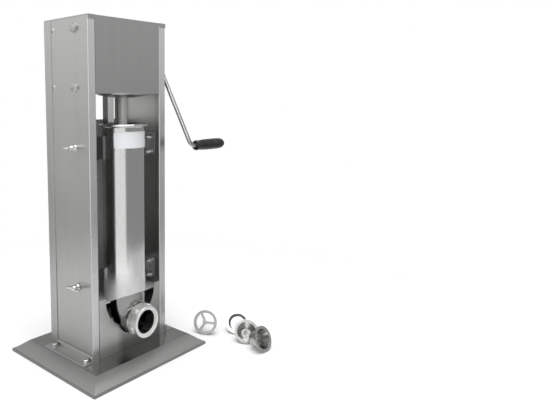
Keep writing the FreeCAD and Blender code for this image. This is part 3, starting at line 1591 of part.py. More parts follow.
def build_dies():
    """The four loose dies that lie beside the machine."""
    rim = "die_radius - spider_rim"
    ring = [
        (rim, "0"),
        ("die_radius", "0"),
        ("die_radius", "die_flange"),
        ("die_spigot_radius", "die_flange"),
        ("die_spigot_radius", "spider_depth"),
        (rim, "spider_depth"),
    ]
    hub = [
        ("0", "spider_depth - 4"),
        ("spider_hub_radius", "spider_depth - 4"),
        ("spider_hub_radius * 0.8", "-spider_nose"),
        ("0", "-spider_nose"),
    ]
    pieces = [turned("die_spider_body", ring), turned("die_spider_hub", hub)]
    for number in range(3):
        leg = block(
            f"die_spider_leg_{number}",
            ("spider_hub_radius / 2", "die_spigot_radius - 1"),
            ("-spider_leg / 2", "spider_leg / 2"),
            ("0", "spider_depth - 1"),
        )
        turned_leg = group(f"die_spider_leg_{number}_turned", [leg])
        turned_leg.Placement = Placement(Vector(), Rotation(Vector(0, 0, 1), 120 * number + 30))
        pieces.append(turned_leg)
    item = join("die_spider_joined", pieces)
    lay_down(item, "spider", size("die_spigot_radius"), size("spider_depth"))
    node(item, "die_spider_ring")

    for label, kind in (("die_star_long", "long"), ("die_star_cup", "cup")):
        depth, tail = f"{kind}_die_depth", f"{kind}_die_tail"
        cup = turned(label + "_body", die_profile(depth, tail, "0"))
        tip, root = size(f"{kind}_star_tip"), size(f"{kind}_star_root")
        points = star(label + "_points", int(size("star_points")), tip, root, size(depth))
        item = cut(label + "_cut", cup, [points])
        lay_down(item, f"{kind}_die", size(tail), size(depth))
        node(item, label)

    item = turned("die_cone_body", die_profile("cone_die_depth", "cone_die_tail", "cone_die_mouth"))
    lay_down(item, "cone_die", size("cone_die_tail"), size("cone_die_depth"))
    node(item, "die_cone")


# ---------------------------------------------------------------- assembly and export
build_base()
build_foot_brackets()
build_side_panels()
build_rear_cover()
build_front_covers()
build_shelf()
build_saddles()
build_wing_screws()
build_cylinder()
build_outlet()
build_gear_train()
build_rack()
build_head()
build_crank()
build_dies()
doc.recompute()

faults = [item.Name for item in doc.Objects if "Invalid" in item.State or "Error" in item.State]
faults += [part.Label for part in parts if part.Shape.isNull() or not part.Shape.isValid()]
if faults:
    raise RuntimeError("these objects failed: " + ", ".join(faults))

os.makedirs("parts", exist_ok=True)
for part in parts:
    part.Shape.exportStep(os.path.join("parts", part.Label + ".step"))
print(len(parts), "nodes written")
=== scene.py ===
"""Looks of the column churro maker: finishes, rounded edges, fasteners and a studio round the frame."""

import logging
import math
from dataclasses import dataclass
from enum import Enum
from random import Random
from typing import Any, Callable, Iterable, Sequence

import bmesh
import bpy
from mathutils import Matrix, Vector


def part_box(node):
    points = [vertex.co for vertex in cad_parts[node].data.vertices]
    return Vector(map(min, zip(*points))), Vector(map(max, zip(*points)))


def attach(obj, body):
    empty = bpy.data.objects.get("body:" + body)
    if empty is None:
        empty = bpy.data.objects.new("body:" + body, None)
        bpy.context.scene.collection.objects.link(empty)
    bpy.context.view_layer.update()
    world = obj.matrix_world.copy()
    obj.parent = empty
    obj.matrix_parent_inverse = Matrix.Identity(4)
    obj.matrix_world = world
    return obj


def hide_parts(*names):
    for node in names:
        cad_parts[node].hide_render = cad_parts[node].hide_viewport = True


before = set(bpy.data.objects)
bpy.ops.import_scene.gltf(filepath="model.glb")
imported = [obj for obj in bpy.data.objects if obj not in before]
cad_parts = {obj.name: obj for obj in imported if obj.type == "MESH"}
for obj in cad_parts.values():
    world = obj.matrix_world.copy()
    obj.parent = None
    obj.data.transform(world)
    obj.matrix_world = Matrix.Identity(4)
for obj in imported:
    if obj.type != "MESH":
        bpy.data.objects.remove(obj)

LOG = logging.getLogger("churro_maker")
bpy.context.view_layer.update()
MM = 0.001
IMAGE_WIDTH = 553
IMAGE_HEIGHT = 414
SAME_POINT = 1e-7
SAME_CAD_POINT = 2e-6
NO_LENGTH = 1e-9
FLAT_JOIN = math.radians(0.6)
BEVEL_ANGLE = math.radians(38)
SMOOTH_ANGLE = 32.0
THREAD_PITCH = 3 * MM

Triple = tuple[float, float, float]
Profile = list[tuple[float, float]]
Number = Any


class Axis(Enum):
    """The row axis along which a turned piece's own Z axis points."""

    X = Matrix.Rotation(math.pi / 2, 4, "Y")
    Y = Matrix.Rotation(-math.pi / 2, 4, "X")
    Z = Matrix.Identity(4)
    MINUS_X = Matrix.Rotation(-math.pi / 2, 4, "Y")


class Grain(Enum):
    """The direction of a brushed finish, as the pattern's scale per metre along each axis."""

    UP = (900.0, 900.0, 7.0)
    ACROSS = (7.0, 900.0, 900.0)


# ---------------------------------------------------------------- shader maths


class Signal:
    """A shader value; arithmetic on it adds Math nodes to its tree."""

    def __init__(self, tree: bpy.types.NodeTree, socket: bpy.types.NodeSocket) -> None:
        """Keeps the tree and the output socket that carries the value."""
        self.tree = tree
        self.socket = socket

    def math(self, operation: str, *operands: Number) -> "Signal":
        """Adds one Math node.

        Args:
            operation: the node's operation.
            operands: the values or signals of its inputs, in order.

        Returns:
            The node's result.
        """
        node = self.tree.nodes.new("ShaderNodeMath")
        node.operation = operation
        for index, operand in enumerate(operands):
            if isinstance(operand, Signal):
                self.tree.links.new(operand.socket, node.inputs[index])
            else:
                node.inputs[index].default_value = float(operand)
        return Signal(self.tree, node.outputs[0])

    def __add__(self, other: Number) -> "Signal":
        """Returns the sum."""
        return self.math("ADD", self, other)

    __radd__ = __add__

    def __sub__(self, other: Number) -> "Signal":
        """Returns the difference."""
        return self.math("SUBTRACT", self, other)

    def __rsub__(self, other: Number) -> "Signal":
        """Returns the reflected difference."""
        return self.math("SUBTRACT", other, self)

    def __mul__(self, other: Number) -> "Signal":
        """Returns the product."""
        return self.math("MULTIPLY", self, other)

    __rmul__ = __mul__

    def __truediv__(self, other: Number) -> "Signal":
        """Returns the quotient."""
        return self.math("DIVIDE", self, other)

    def __pow__(self, other: Number) -> "Signal":
        """Returns the power."""
        return self.math("POWER", self, other)

    def between(self, low: float, high: float) -> "Signal":
        """Returns 0 below low, 1 above high and a straight ramp between them."""
        return self.math("MINIMUM", self.math("MAXIMUM", (self - low) / (high - low), 0.0), 1.0)


class Wiring:
    """A node tree, with short calls that add and feed its nodes."""

    def __init__(self, tree: bpy.types.NodeTree) -> None:
        """Keeps the tree."""
        self.tree = tree

    def node(self, kind: str, settings: dict[str, Any], inputs: dict[Any, Any]) -> bpy.types.Node:
        """Adds a node.

        Args:
            kind: the node's type.
            settings: properties of the node, set before its sockets.
            inputs: values, signals or sockets by input name or number.

        Returns:
            The new node.
        """
        made = self.tree.nodes.new(kind)
        for key, value in settings.items():
            setattr(made, key, value)
        for key, value in inputs.items():
            self.feed(made.inputs[key], value)
        return made

    def feed(self, socket: bpy.types.NodeSocket, value: Any) -> None:
        """Sets or links one input socket.

        Args:
            socket: the input to feed.
            value: a signal or a socket to link, or a plain value to set.
        """
        if isinstance(value, Signal):
            self.tree.links.new(value.socket, socket)
        elif isinstance(value, bpy.types.NodeSocket):
            self.tree.links.new(value, socket)
        else:
            socket.default_value = value


class FinishBench(Wiring):
    """One material's node tree, with the patterns that the finishes share."""

    def __init__(self, name: str) -> None:
        """Makes a material with an empty Principled shader.

        Args:
            name: the material's name.
        """
        self.material = bpy.data.materials.new(name)
        self.material.use_nodes = True
        super().__init__(self.material.node_tree)
        self.shader = self.tree.nodes["Principled BSDF"]
        self.place = self.node("ShaderNodeTexCoord", {}, {}).outputs["Object"]

    def stretched(self, scale: Triple) -> bpy.types.NodeSocket:
        """Returns the object coordinates scaled by three factors."""
        mapping = self.node("ShaderNodeMapping", {}, {"Vector": self.place, "Scale": scale})
        return mapping.outputs["Vector"]

    def noise(self, scale: Triple, detail: float = 2.0, distortion: float = 0.0) -> Signal:
        """Returns a noise between 0 and 1 at three scales per metre.

        Args:
            scale: the pattern's scales per metre along X, Y and Z.
            detail: how many finer layers it has.
            distortion: how far it is warped.

        Returns:
            The noise.
        """
        inputs = {
            "Vector": self.stretched(scale),
            "Scale": 1.0,
            "Detail": detail,
            "Distortion": distortion,
        }
        return Signal(self.tree, self.node("ShaderNodeTexNoise", {}, inputs).outputs["Fac"])

    def coordinate(self, axis: str = "Z") -> Signal:
        """Returns one object coordinate in metres."""
        split = self.node("ShaderNodeSeparateXYZ", {}, {0: self.place})
        return Signal(self.tree, split.outputs[axis])

    def mixed(self, factor: Signal, first: Triple, second: Triple) -> bpy.types.NodeSocket:
        """Returns a blend of two colours.

        Args:
            factor: 0 for the first colour, 1 for the second.
            first: the first colour.
            second: the second colour.

        Returns:
            The socket that carries the blend.
        """
        node = self.node("ShaderNodeMix", {"data_type": "RGBA"}, {"Factor": factor})
        ends = [socket for socket in node.inputs if socket.type == "RGBA"]
        for end, colour in zip(ends, (first, second)):
            self.feed(end, (*colour, 1.0))
        return next(socket for socket in node.outputs if socket.type == "RGBA")

    def relief(self, height: Signal, strength: float, distance: float) -> None:
        """Feeds a height to the shader's normal through one Bump node.

        Args:
            height: the surface's height, from 0 to 1.
            strength: how strongly it shows, from 0 to 1.
            distance: how far a height of 1 stands out, in metres.
        """
        bump = self.node(
            "ShaderNodeBump", {}, {"Strength": strength, "Distance": distance, "Height": height}
        )
        self.feed(self.shader.inputs["Normal"], bump.outputs["Normal"])

    def put(self, **inputs: Any) -> None:
        """Sets or links inputs of the shader; underscores in a name stand for spaces."""
        for key, value in inputs.items():
            self.feed(self.shader.inputs[key.replace("_", " ")], value)


# ---------------------------------------------------------------- finishes


def shade(colour: Triple, factor: float) -> Triple:
    """Returns a colour scaled towards black or white."""
    return tuple(min(1.0, channel * factor) for channel in colour)


@dataclass(frozen=True)
class BrushedSteel:
    """Sheet steel with a fine drawn grain, soft blotches and faint handling marks.

    The foot shade and side shade paint shade into the colour, from 1 for none, over ranges of height and of
    side in metres: darker towards the foot, and a painted shadow low on one side.
    """

    name: str
    slot: str
    colour: Triple
    roughness: float
    grain: Grain = Grain.UP
    grain_depth: float = 0.25
    blotch: float = 0.12
    foot_shade: float = 1.0
    side_shade: float = 1.0
    metallic: float = 1.0
    foot_range: tuple[float, float] = (0.06, 0.46)
    side_range: tuple[float, float] = (-0.048, -0.026)
    side_height: tuple[float, float] = (0.07, 0.135)
    contrast: float = 0.20

    def painted_shade(self, bench: FinishBench) -> Number:
        """Returns the painted shade: darker towards the foot, and a painted shadow low on one side.

        Args:
            bench: the material that is being built.

        Returns:
            1 where no shade is painted, and less where painted shade darkens the steel.
        """
        tone: Number = 1.0
        # Painted shade: the colour darkens towards the foot.
        if self.foot_shade < 1.0:
            low = 1.0 - bench.coordinate("Z").between(*self.foot_range)
            tone = 1.0 - low * (1.0 - self.foot_shade)
        # Painted shadow: the colour darkens on one side, low down.
        if self.side_shade < 1.0:
            right = bench.coordinate("X").between(*self.side_range)
            beneath = 1.0 - bench.coordinate("Z").between(*self.side_height)
            tone = tone * (1.0 - right * beneath * (1.0 - self.side_shade))
        return tone

    def material(self) -> bpy.types.Material:
        """Builds the finish.

        Returns:
            The new material.
        """
        bench = FinishBench(self.name)
        fine = bench.noise(self.grain.value, 3.0)
        broad = bench.noise(tuple(value / 9.0 for value in self.grain.value), 2.0)
        cloud = bench.noise((5.0, 5.0, 3.0), 3.0, 0.6)
        smear = bench.noise((38.0, 38.0, 16.0), 4.0, 1.2).between(0.52, 0.8)
        tone = (fine * 0.5 + broad * 0.3 + cloud * self.blotch * 2.0).between(0.2, 0.9)
        brightest = 0.94 + self.contrast
        # The painted shade scales the grain's colour here.
        tone = (tone * self.contrast + 0.88) * self.painted_shade(bench) / brightest
        bench.put(
            Base_Color=bench.mixed(tone, (0.0, 0.0, 0.0), shade(self.colour, brightest)),
            Roughness=fine * 0.10 + cloud * self.blotch + smear * 0.07 + (self.roughness - 0.11),
            Metallic=self.metallic,
        )
        bench.relief(fine * 0.8 + broad * 0.2, self.grain_depth, 0.00004)
        return bench.material


@dataclass(frozen=True)
class PolishedSteel:
    """Bright polished steel with light swirl marks and the slight waviness of real sheet.

    Where dressed is given, the steel turns duller from its second height down to its first,
    both in metres, because a weld was ground there.
    """

    name: str
    slot: str
    colour: Triple
    roughness: float
    wave: float = 0.10
    dressed: tuple[float, float] | None = None

    def material(self) -> bpy.types.Material:
        """Builds the finish.

        Returns:
            The new material.
        """
        bench = FinishBench(self.name)
        wave = bench.noise((11.0, 11.0, 4.0), 1.0)
        haze = bench.noise((70.0, 70.0, 20.0), 4.0, 1.0).between(0.45, 0.85)
        hair = bench.noise((1400.0, 1400.0, 60.0), 2.0)
        roughness = haze * 0.10 + hair * 0.05 + (self.roughness - 0.04)
        metallic: Number = 1.0
        if self.dressed is not None:
            ground = 1.0 - bench.coordinate("Z").between(*self.dressed)
            roughness = roughness + ground * 0.40
            metallic = 1.0 - ground * 0.5
        bench.put(
            Base_Color=bench.mixed(haze, self.colour, shade(self.colour, 0.9)),
            Roughness=roughness,
            Metallic=metallic,
        )
        bench.relief(wave + hair * 0.02, self.wave, 0.0012)
        return bench.material


@dataclass(frozen=True)
class CastMetal:
    """A casting: tumbled skin with pits, brighter where it is handled."""

    name: str
    slot: str
    colour: Triple
    roughness: float
    pit_depth: float = 0.35
    metallic: float = 1.0

    def material(self) -> bpy.types.Material:
        """Builds the finish.

        Returns:
            The new material.
        """
        bench = FinishBench(self.name)
        skin = bench.noise((900.0, 900.0, 900.0), 3.0)
        lumps = bench.noise((150.0, 150.0, 150.0), 2.0)
        worn = bench.noise((45.0, 45.0, 45.0), 3.0, 0.8).between(0.4, 0.75)
        bench.put(
            Base_Color=bench.mixed(worn, shade(self.colour, 0.78), shade(self.colour, 1.1)),
            Roughness=skin * 0.15 + worn * 0.10 + (self.roughness - 0.12),
            Metallic=self.metallic,
        )
        bench.relief(skin * 0.4 + lumps * 0.6, self.pit_depth, 0.0003)
        return bench.material


@dataclass(frozen=True)
class TurnedMetal:
    """Machined metal with fine, even tool marks under a thin film of oil."""

    name: str
    slot: str
    colour: Triple
    roughness: float

    def material(self) -> bpy.types.Material:
        """Builds the finish.

        Returns:
            The new material.
        """
        bench = FinishBench(self.name)
        tool = bench.noise((700.0, 700.0, 700.0), 2.0)
        film = bench.noise((60.0, 60.0, 60.0), 3.0, 0.8).between(0.4, 0.8)
        bench.put(
            Base_Color=bench.mixed(film, self.colour, shade(self.colour, 0.8)),
            Roughness=tool * 0.14 + film * 0.10 + (self.roughness - 0.10),
            Metallic=1.0,
        )
        bench.relief(tool, 0.12, 0.0001)
        return bench.material


@dataclass(frozen=True)
class Moulding:
    """Moulded plastic with a faint skin texture and dusty scuffs."""

    name: str
    slot: str
    colour: Triple
    roughness: float
    skin_depth: float = 0.15

    def material(self) -> bpy.types.Material:
        """Builds the finish.

        Returns:
            The new material.
        """
        bench = FinishBench(self.name)
        skin = bench.noise((1500.0, 1500.0, 1500.0), 2.0)
        scuff = bench.noise((90.0, 90.0, 90.0), 4.0, 1.0).between(0.5, 0.85)
        lifted = tuple(min(1.0, channel + 0.03) for channel in self.colour)
        bench.put(
            Base_Color=bench.mixed(scuff, self.colour, lifted),
            Roughness=scuff * 0.2 + skin * 0.05 + self.roughness,
            Metallic=0.0,
        )
        bench.relief(skin, self.skin_depth, 0.00005)
        return bench.material


# PANEL_STEEL carries painted shade towards the foot.
PANEL_STEEL = BrushedSteel("panel_steel", "brushed_panels", (0.62, 0.62, 0.61), 0.34, foot_shade=0.55)
# A lighter copy of the panel steel for the front flanges: a painted highlight, with painted shade towards the
# foot.
FLANGE_PAINTED_LIGHT = BrushedSteel("flange_painted_light", "brushed_panels", (0.95, 0.95, 0.94), 0.28, foot_shade=0.52)
INSIDE_STEEL = BrushedSteel("inside_steel", "brushed_panels", (0.66, 0.66, 0.65), 0.55, metallic=0.45)
COVER_STEEL = BrushedSteel("cover_steel", "satin_covers", (0.51, 0.51, 0.505), 0.33, Grain.UP, 0.2)
# LOW_STEEL carries painted shade towards the foot and a painted shadow on its right, beneath the outlet
# elbow.
LOW_STEEL = BrushedSteel(
    "low_cover_steel", "satin_covers", (0.55, 0.55, 0.54), 0.33, Grain.UP, 0.2, 0.12, 0.7, 0.55
)
SHELF_STEEL = BrushedSteel(
    "shelf_steel", "satin_covers", (0.62, 0.62, 0.61), 0.50, Grain.ACROSS, 0.2, metallic=0.35
)
FOOT_STEEL = BrushedSteel(
    "foot_steel", "base_steel", (0.28, 0.28, 0.276), 0.42, Grain.ACROSS, 0.2, metallic=0.55
)
# A darker copy of the foot steel for the upright rim: painted shade.
FOOT_RIM_PAINTED_SHADE = BrushedSteel("foot_rim_painted_shade", "base_steel", (0.20, 0.20, 0.195), 0.40, Grain.ACROSS, 0.2)
FOOT_TOP = PolishedSteel("foot_top_steel", "base_steel", (0.46, 0.46, 0.45), 0.12, 0.04)
TUBE_STEEL = PolishedSteel(
    "tube_steel", "polished_steel", (0.66, 0.66, 0.655), 0.13, dressed=(0.175, 0.225)
)
PISTON_STEEL = PolishedSteel("piston_steel", "polished_steel", (0.72, 0.72, 0.715), 0.13)
POST_STEEL = PolishedSteel("post_steel", "polished_steel", (0.92, 0.92, 0.91), 0.14)
# A dark copy of the post steel for the post's left faces: painted shade.
POST_PAINTED_SHADE = PolishedSteel("post_painted_shade", "polished_steel", (0.16, 0.16, 0.16), 0.22)
RACK_STEEL = BrushedSteel(
    "rack_steel", "polished_steel", (0.62, 0.62, 0.61), 0.50, Grain.UP, 0.15, metallic=0.3
)
ELBOW_STEEL = PolishedSteel("elbow_steel", "cast_outlet", (0.25, 0.25, 0.247), 0.13, 0.4)
SPIGOT_STEEL = TurnedMetal("spigot_steel", "cast_outlet", (0.55, 0.55, 0.54), 0.27)
WELD_METAL = CastMetal("weld_metal", "cast_outlet", (0.62, 0.62, 0.61), 0.26, 0.25)
RING_METAL = CastMetal("ring_metal", "cast_ring", (0.78, 0.78, 0.77), 0.40, 0.6, 0.7)
WING_METAL = CastMetal("wing_metal", "fasteners", (0.74, 0.74, 0.73), 0.28, 0.2)
BOLT_METAL = TurnedMetal("bolt_metal", "fasteners", (0.60, 0.60, 0.59), 0.27)
GEAR_METAL = CastMetal("gear_metal", "gear_steel", (0.30, 0.30, 0.31), 0.38, 0.15)
BRONZE = TurnedMetal("bush_bronze", "bearing_bronze", (0.62, 0.45, 0.24), 0.3)
ROD_STEEL = TurnedMetal("rod_steel", "fasteners", (0.42, 0.42, 0.415), 0.30)
DIE_METAL = TurnedMetal("die_bright", "die_metal", (0.46, 0.46, 0.45), 0.22)
GRIP_BLACK = Moulding("grip_black", "black_grip", (0.008, 0.008, 0.009), 0.24, 0.04)
SEAL_WHITE = Moulding("seal_white", "white_seal", (0.80, 0.80, 0.77), 0.45)
LABEL_FILM = Moulding("label_film", "blank_label", (0.80, 0.82, 0.84), 0.35, 0.05)

_made: dict[str, bpy.types.Material] = {}


def finish(look: Any) -> bpy.types.Material:
    """Returns a finish's material, made once.

    Args:
        look: the finish.

    Returns:
        Its material.
    """
    if look.name not in _made:
        _made[look.name] = look.material()
    return _made[look.name]


# ---------------------------------------------------------------- mesh workshop


class Workshop:
    """Makes, dresses and reports the pieces."""

    @staticmethod
    def link(name: str, mesh: bpy.types.Mesh) -> bpy.types.Object:
        """Puts a mesh in the scene as an object at the origin.

        Args:
            name: the object's name.
            mesh: its mesh.

        Returns:
            The new object.
        """
        made = bpy.data.objects.new(name, mesh)
        bpy.context.scene.collection.objects.link(made)
        return made

    @staticmethod
    def mesh(name: str, points: Sequence[Sequence[float]], faces: Sequence[Sequence[int]]) -> bpy.types.Mesh:
        """Makes a mesh whose doubles are merged and whose faces point outwards.

        Args:
            name: the mesh's name.
            points: the corners' places in metres.
            faces: the corner numbers of each face.

        Returns:
            The new mesh.
        """
        made = bpy.data.meshes.new(name)
        made.from_pydata([tuple(point) for point in points], [], [tuple(face) for face in faces])
        tidy = bmesh.new()
        tidy.from_mesh(made)
        bmesh.ops.remove_doubles(tidy, verts=tidy.verts, dist=SAME_POINT)
        bmesh.ops.recalc_face_normals(tidy, faces=tidy.faces)
        tidy.to_mesh(made)
        tidy.free()
        return made

    @staticmethod
    def smooth(mesh: bpy.types.Mesh, degrees: float = SMOOTH_ANGLE) -> None:
        """Shades a mesh smooth, apart from edges sharper than an angle.

        Args:
            mesh: the mesh.
            degrees: the largest angle that is shaded smooth.
        """
        mesh.polygons.foreach_set("use_smooth", [True] * len(mesh.polygons))
        mesh.set_sharp_from_angle(angle=math.radians(degrees))
        mesh.update()

    @staticmethod
    def applied(piece: bpy.types.Object) -> bpy.types.Object:
        """Replaces a piece's mesh by its evaluated one and drops its modifiers.

        Args:
            piece: the piece.

        Returns:
            The same piece.
        """
        graph = bpy.context.evaluated_depsgraph_get()
        graph.update()
        result = bpy.data.meshes.new_from_object(piece.evaluated_get(graph))
        result.name = piece.name
        piece.modifiers.clear()
        piece.data = result
        return piece

    @staticmethod
    def softened(piece: bpy.types.Object, width: float, segments: int = 2) -> bpy.types.Object:
        """Rounds a piece's sharp edges and applies the result.

        Args:
            piece: the piece.
            width: the width of the round in metres.
            segments: how many faces round an edge.

        Returns:
            The same piece.
        """
        bevel = piece.modifiers.new("edges", "BEVEL")
        bevel.width = width
        bevel.segments = segments
        bevel.limit_method = "ANGLE"
        bevel.angle_limit = BEVEL_ANGLE
        bevel.use_clamp_overlap = True
        bevel.harden_normals = False
        return Workshop.applied(piece)

    @staticmethod
    def dress(
        piece: bpy.types.Object, look: Any, body: str, replaces: Iterable[str] = ()
    ) -> bpy.types.Object:
        """Gives a finished piece its material, its body and the nodes it stands for.

        Args:
            piece: the piece.
            look: its finish.
            body: the body that carries it.
            replaces: the CAD nodes that it stands for.

        Returns:
            The same piece.
        """
        if not piece.data.materials:
            piece.data.materials.append(finish(look))
        else:
            piece.data.materials[0] = finish(look)
        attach(piece, body)
        nodes = tuple(replaces)
        if nodes:
            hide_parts(*nodes)
        LOG.info("%s: %d faces on %s", piece.name, len(piece.data.polygons), body)
        return piece

    @staticmethod
    def repaint(node: str, look: Any) -> None:
        """Gives a CAD node that stays in view a finish."""
        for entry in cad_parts[node].material_slots:
            entry.material = finish(look)

    @staticmethod
    def paint(
        piece: bpy.types.Object, looks: Sequence[Any], choose: Callable[[bpy.types.MeshPolygon], int]
    ) -> None:
        """Gives a piece several finishes, and each of its faces the one that choose numbers.

        Args:
            piece: the piece.
            looks: its finishes.
            choose: gives the number of a face's finish.
        """
        for look in looks:
            piece.data.materials.append(finish(look))
        for polygon in piece.data.polygons:
            polygon.material_index = choose(polygon)

    @staticmethod
    def node_copy(node: str, name: str, edge: float, segments: int = 2) -> bpy.types.Object:
        """Copies a CAD node, merges its triangles and rounds its edges.

        Args:
            node: the CAD node.
            name: the new piece's name.
            edge: the edge radius in metres.
            segments: how many faces round an edge.

        Returns:
            The new piece, without material or body.
        """
        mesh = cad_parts[node].data.copy()
        mesh.materials.clear()
        tidy = bmesh.new()
        tidy.from_mesh(mesh)
        bmesh.ops.remove_doubles(tidy, verts=tidy.verts, dist=SAME_CAD_POINT)
        bmesh.ops.dissolve_limit(tidy, angle_limit=FLAT_JOIN, verts=tidy.verts, edges=tidy.edges)
        tidy.to_mesh(mesh)
        tidy.free()
        piece = Workshop.softened(Workshop.link(name, mesh), edge, segments)
        Workshop.smooth(piece.data)
        return Workshop.levelled(piece)

    @staticmethod
    def levelled(piece: bpy.types.Object) -> bpy.types.Object:
        """Lets large flat faces rule the shading beside rounded edges.

        Args:
            piece: the piece.

        Returns:
            The same piece.
        """
        weight = piece.modifiers.new("level", "WEIGHTED_NORMAL")
        weight.keep_sharp = True
        weight.weight = 100
        return Workshop.applied(piece)


def bands(rows: int, columns: int, closed: bool = False) -> list[list[int]]:
    """Returns the faces between rings of points that follow each other.

    Args:
        rows: how many rings there are.
        columns: how many points each ring has.
        closed: whether the last ring joins the first.

    Returns:
        Four point numbers for each face.
    """
    faces = []
    for row in range(rows if closed else rows - 1):
        start, after = row * columns, (row + 1) % rows * columns
        for column in range(columns):
            beside = (column + 1) % columns
            faces.append([start + column, start + beside, after + beside, after + column])
    return faces


def lathe(profile: Profile, place: Matrix, segments: int = 96) -> tuple[list[Vector], list[list[int]]]:
    """Turns a closed or pole-to-pole profile of radius and height pairs.

    Args:
        profile: the outline; a zero radius makes a pole, and the last point joins the first.
        place: from the piece's own frame to the row frame.
        segments: steps round the axis.

    Returns:
        The points and faces of the turned piece.
    """
    points: list[Vector] = []
    rings: list[list[int]] = []
    for radius, height in profile:
        if radius < NO_LENGTH:
            points.append(place @ Vector((0, 0, height)))
            rings.append([len(points) - 1] * segments)
            continue
        start = len(points)
        for step in range(segments):
            turn = 2 * math.pi * step / segments
            points.append(place @ Vector((radius * math.cos(turn), radius * math.sin(turn), height)))
        rings.append(list(range(start, start + segments)))
    faces = []
    for index, ring in enumerate(rings):
        following = rings[(index + 1) % len(rings)]
        for step in range(segments):
            beside = (step + 1) % segments
            corners = [ring[step], ring[beside], following[beside], following[step]]
            kept = list(dict.fromkeys(corners))
            if len(kept) > 2:
                faces.append(kept)
    return points, faces


def rounded(profile: Profile, radii: Sequence[float], steps: int = 4) -> Profile:
    """Rounds the corners of a closed profile.

    Args:
        profile: corners as radius and height pairs.
        radii: the round of each corner, 0 for a sharp one.
        steps: points along each round.

    Returns:
        The profile with arcs in place of corners.
    """
    made: Profile = []
    count = len(profile)
    for index, corner in enumerate(profile):
        here = Vector(corner)
        before = Vector(profile[index - 1]) - here
        after = Vector(profile[(index + 1) % count]) - here
        radius = radii[index % len(radii)]
        limit = 0.49 * min(before.length, after.length)
        if radius <= 0 or min(before.length, after.length) < NO_LENGTH:
            made.append(corner)
            continue
        angle = before.angle(after)
        reach = min(radius / math.tan(angle / 2), limit) if angle > 0.01 else 0.0
        if reach <= 0 or angle > math.pi - 0.02:
            made.append(corner)
            continue
        first = here + before.normalized() * reach
        last = here + after.normalized() * reach
        for step in range(steps + 1):
            share = step / steps
            point = first * (1 - share) ** 2 + here * 2 * share * (1 - share) + last * share**2
            made.append((max(0.0, point.x), point.y))
    return made


def turned_piece(name: str, profile: Profile, place: Matrix, segments: int = 96) -> bpy.types.Object:
    """Makes one turned object from a profile.

    Args:
        name: the piece's name.
        profile: its outline, as radius and height pairs.
        place: from the piece's own frame to the row frame.
        segments: steps round the axis.

    Returns:
        The new piece.
    """
    points, faces = lathe(profile, place, segments)
    mesh = Workshop.mesh(name, points, faces)
    Workshop.smooth(mesh)
    return Workshop.link(name, mesh)


def at(x: float, y: float, z: float, axis: Axis = Axis.Z) -> Matrix:
    """Returns the placement of a turned piece: a point and the direction of its axis."""
    return Matrix.Translation((x, y, z)) @ axis.value


def merged(name: str, pieces: Sequence[bpy.types.Object]) -> bpy.types.Object:
    """Joins several objects' meshes into one new object.

    Args:
        name: the new object's name.
        pieces: the objects, which are removed.

    Returns:
        The new object.
    """
    points: list[Vector] = []
    faces: list[list[int]] = []
    for piece in pieces:
        start = len(points)
        points += [vertex.co.copy() for vertex in piece.data.vertices]
        faces += [[start + index for index in polygon.vertices] for polygon in piece.data.polygons]
        bpy.data.objects.remove(piece)
    mesh = bpy.data.meshes.new(name)
    mesh.from_pydata([tuple(point) for point in points], [], faces)
    Workshop.smooth(mesh)
    return Workshop.link(name, mesh)


# ---------------------------------------------------------------- geometry node fields


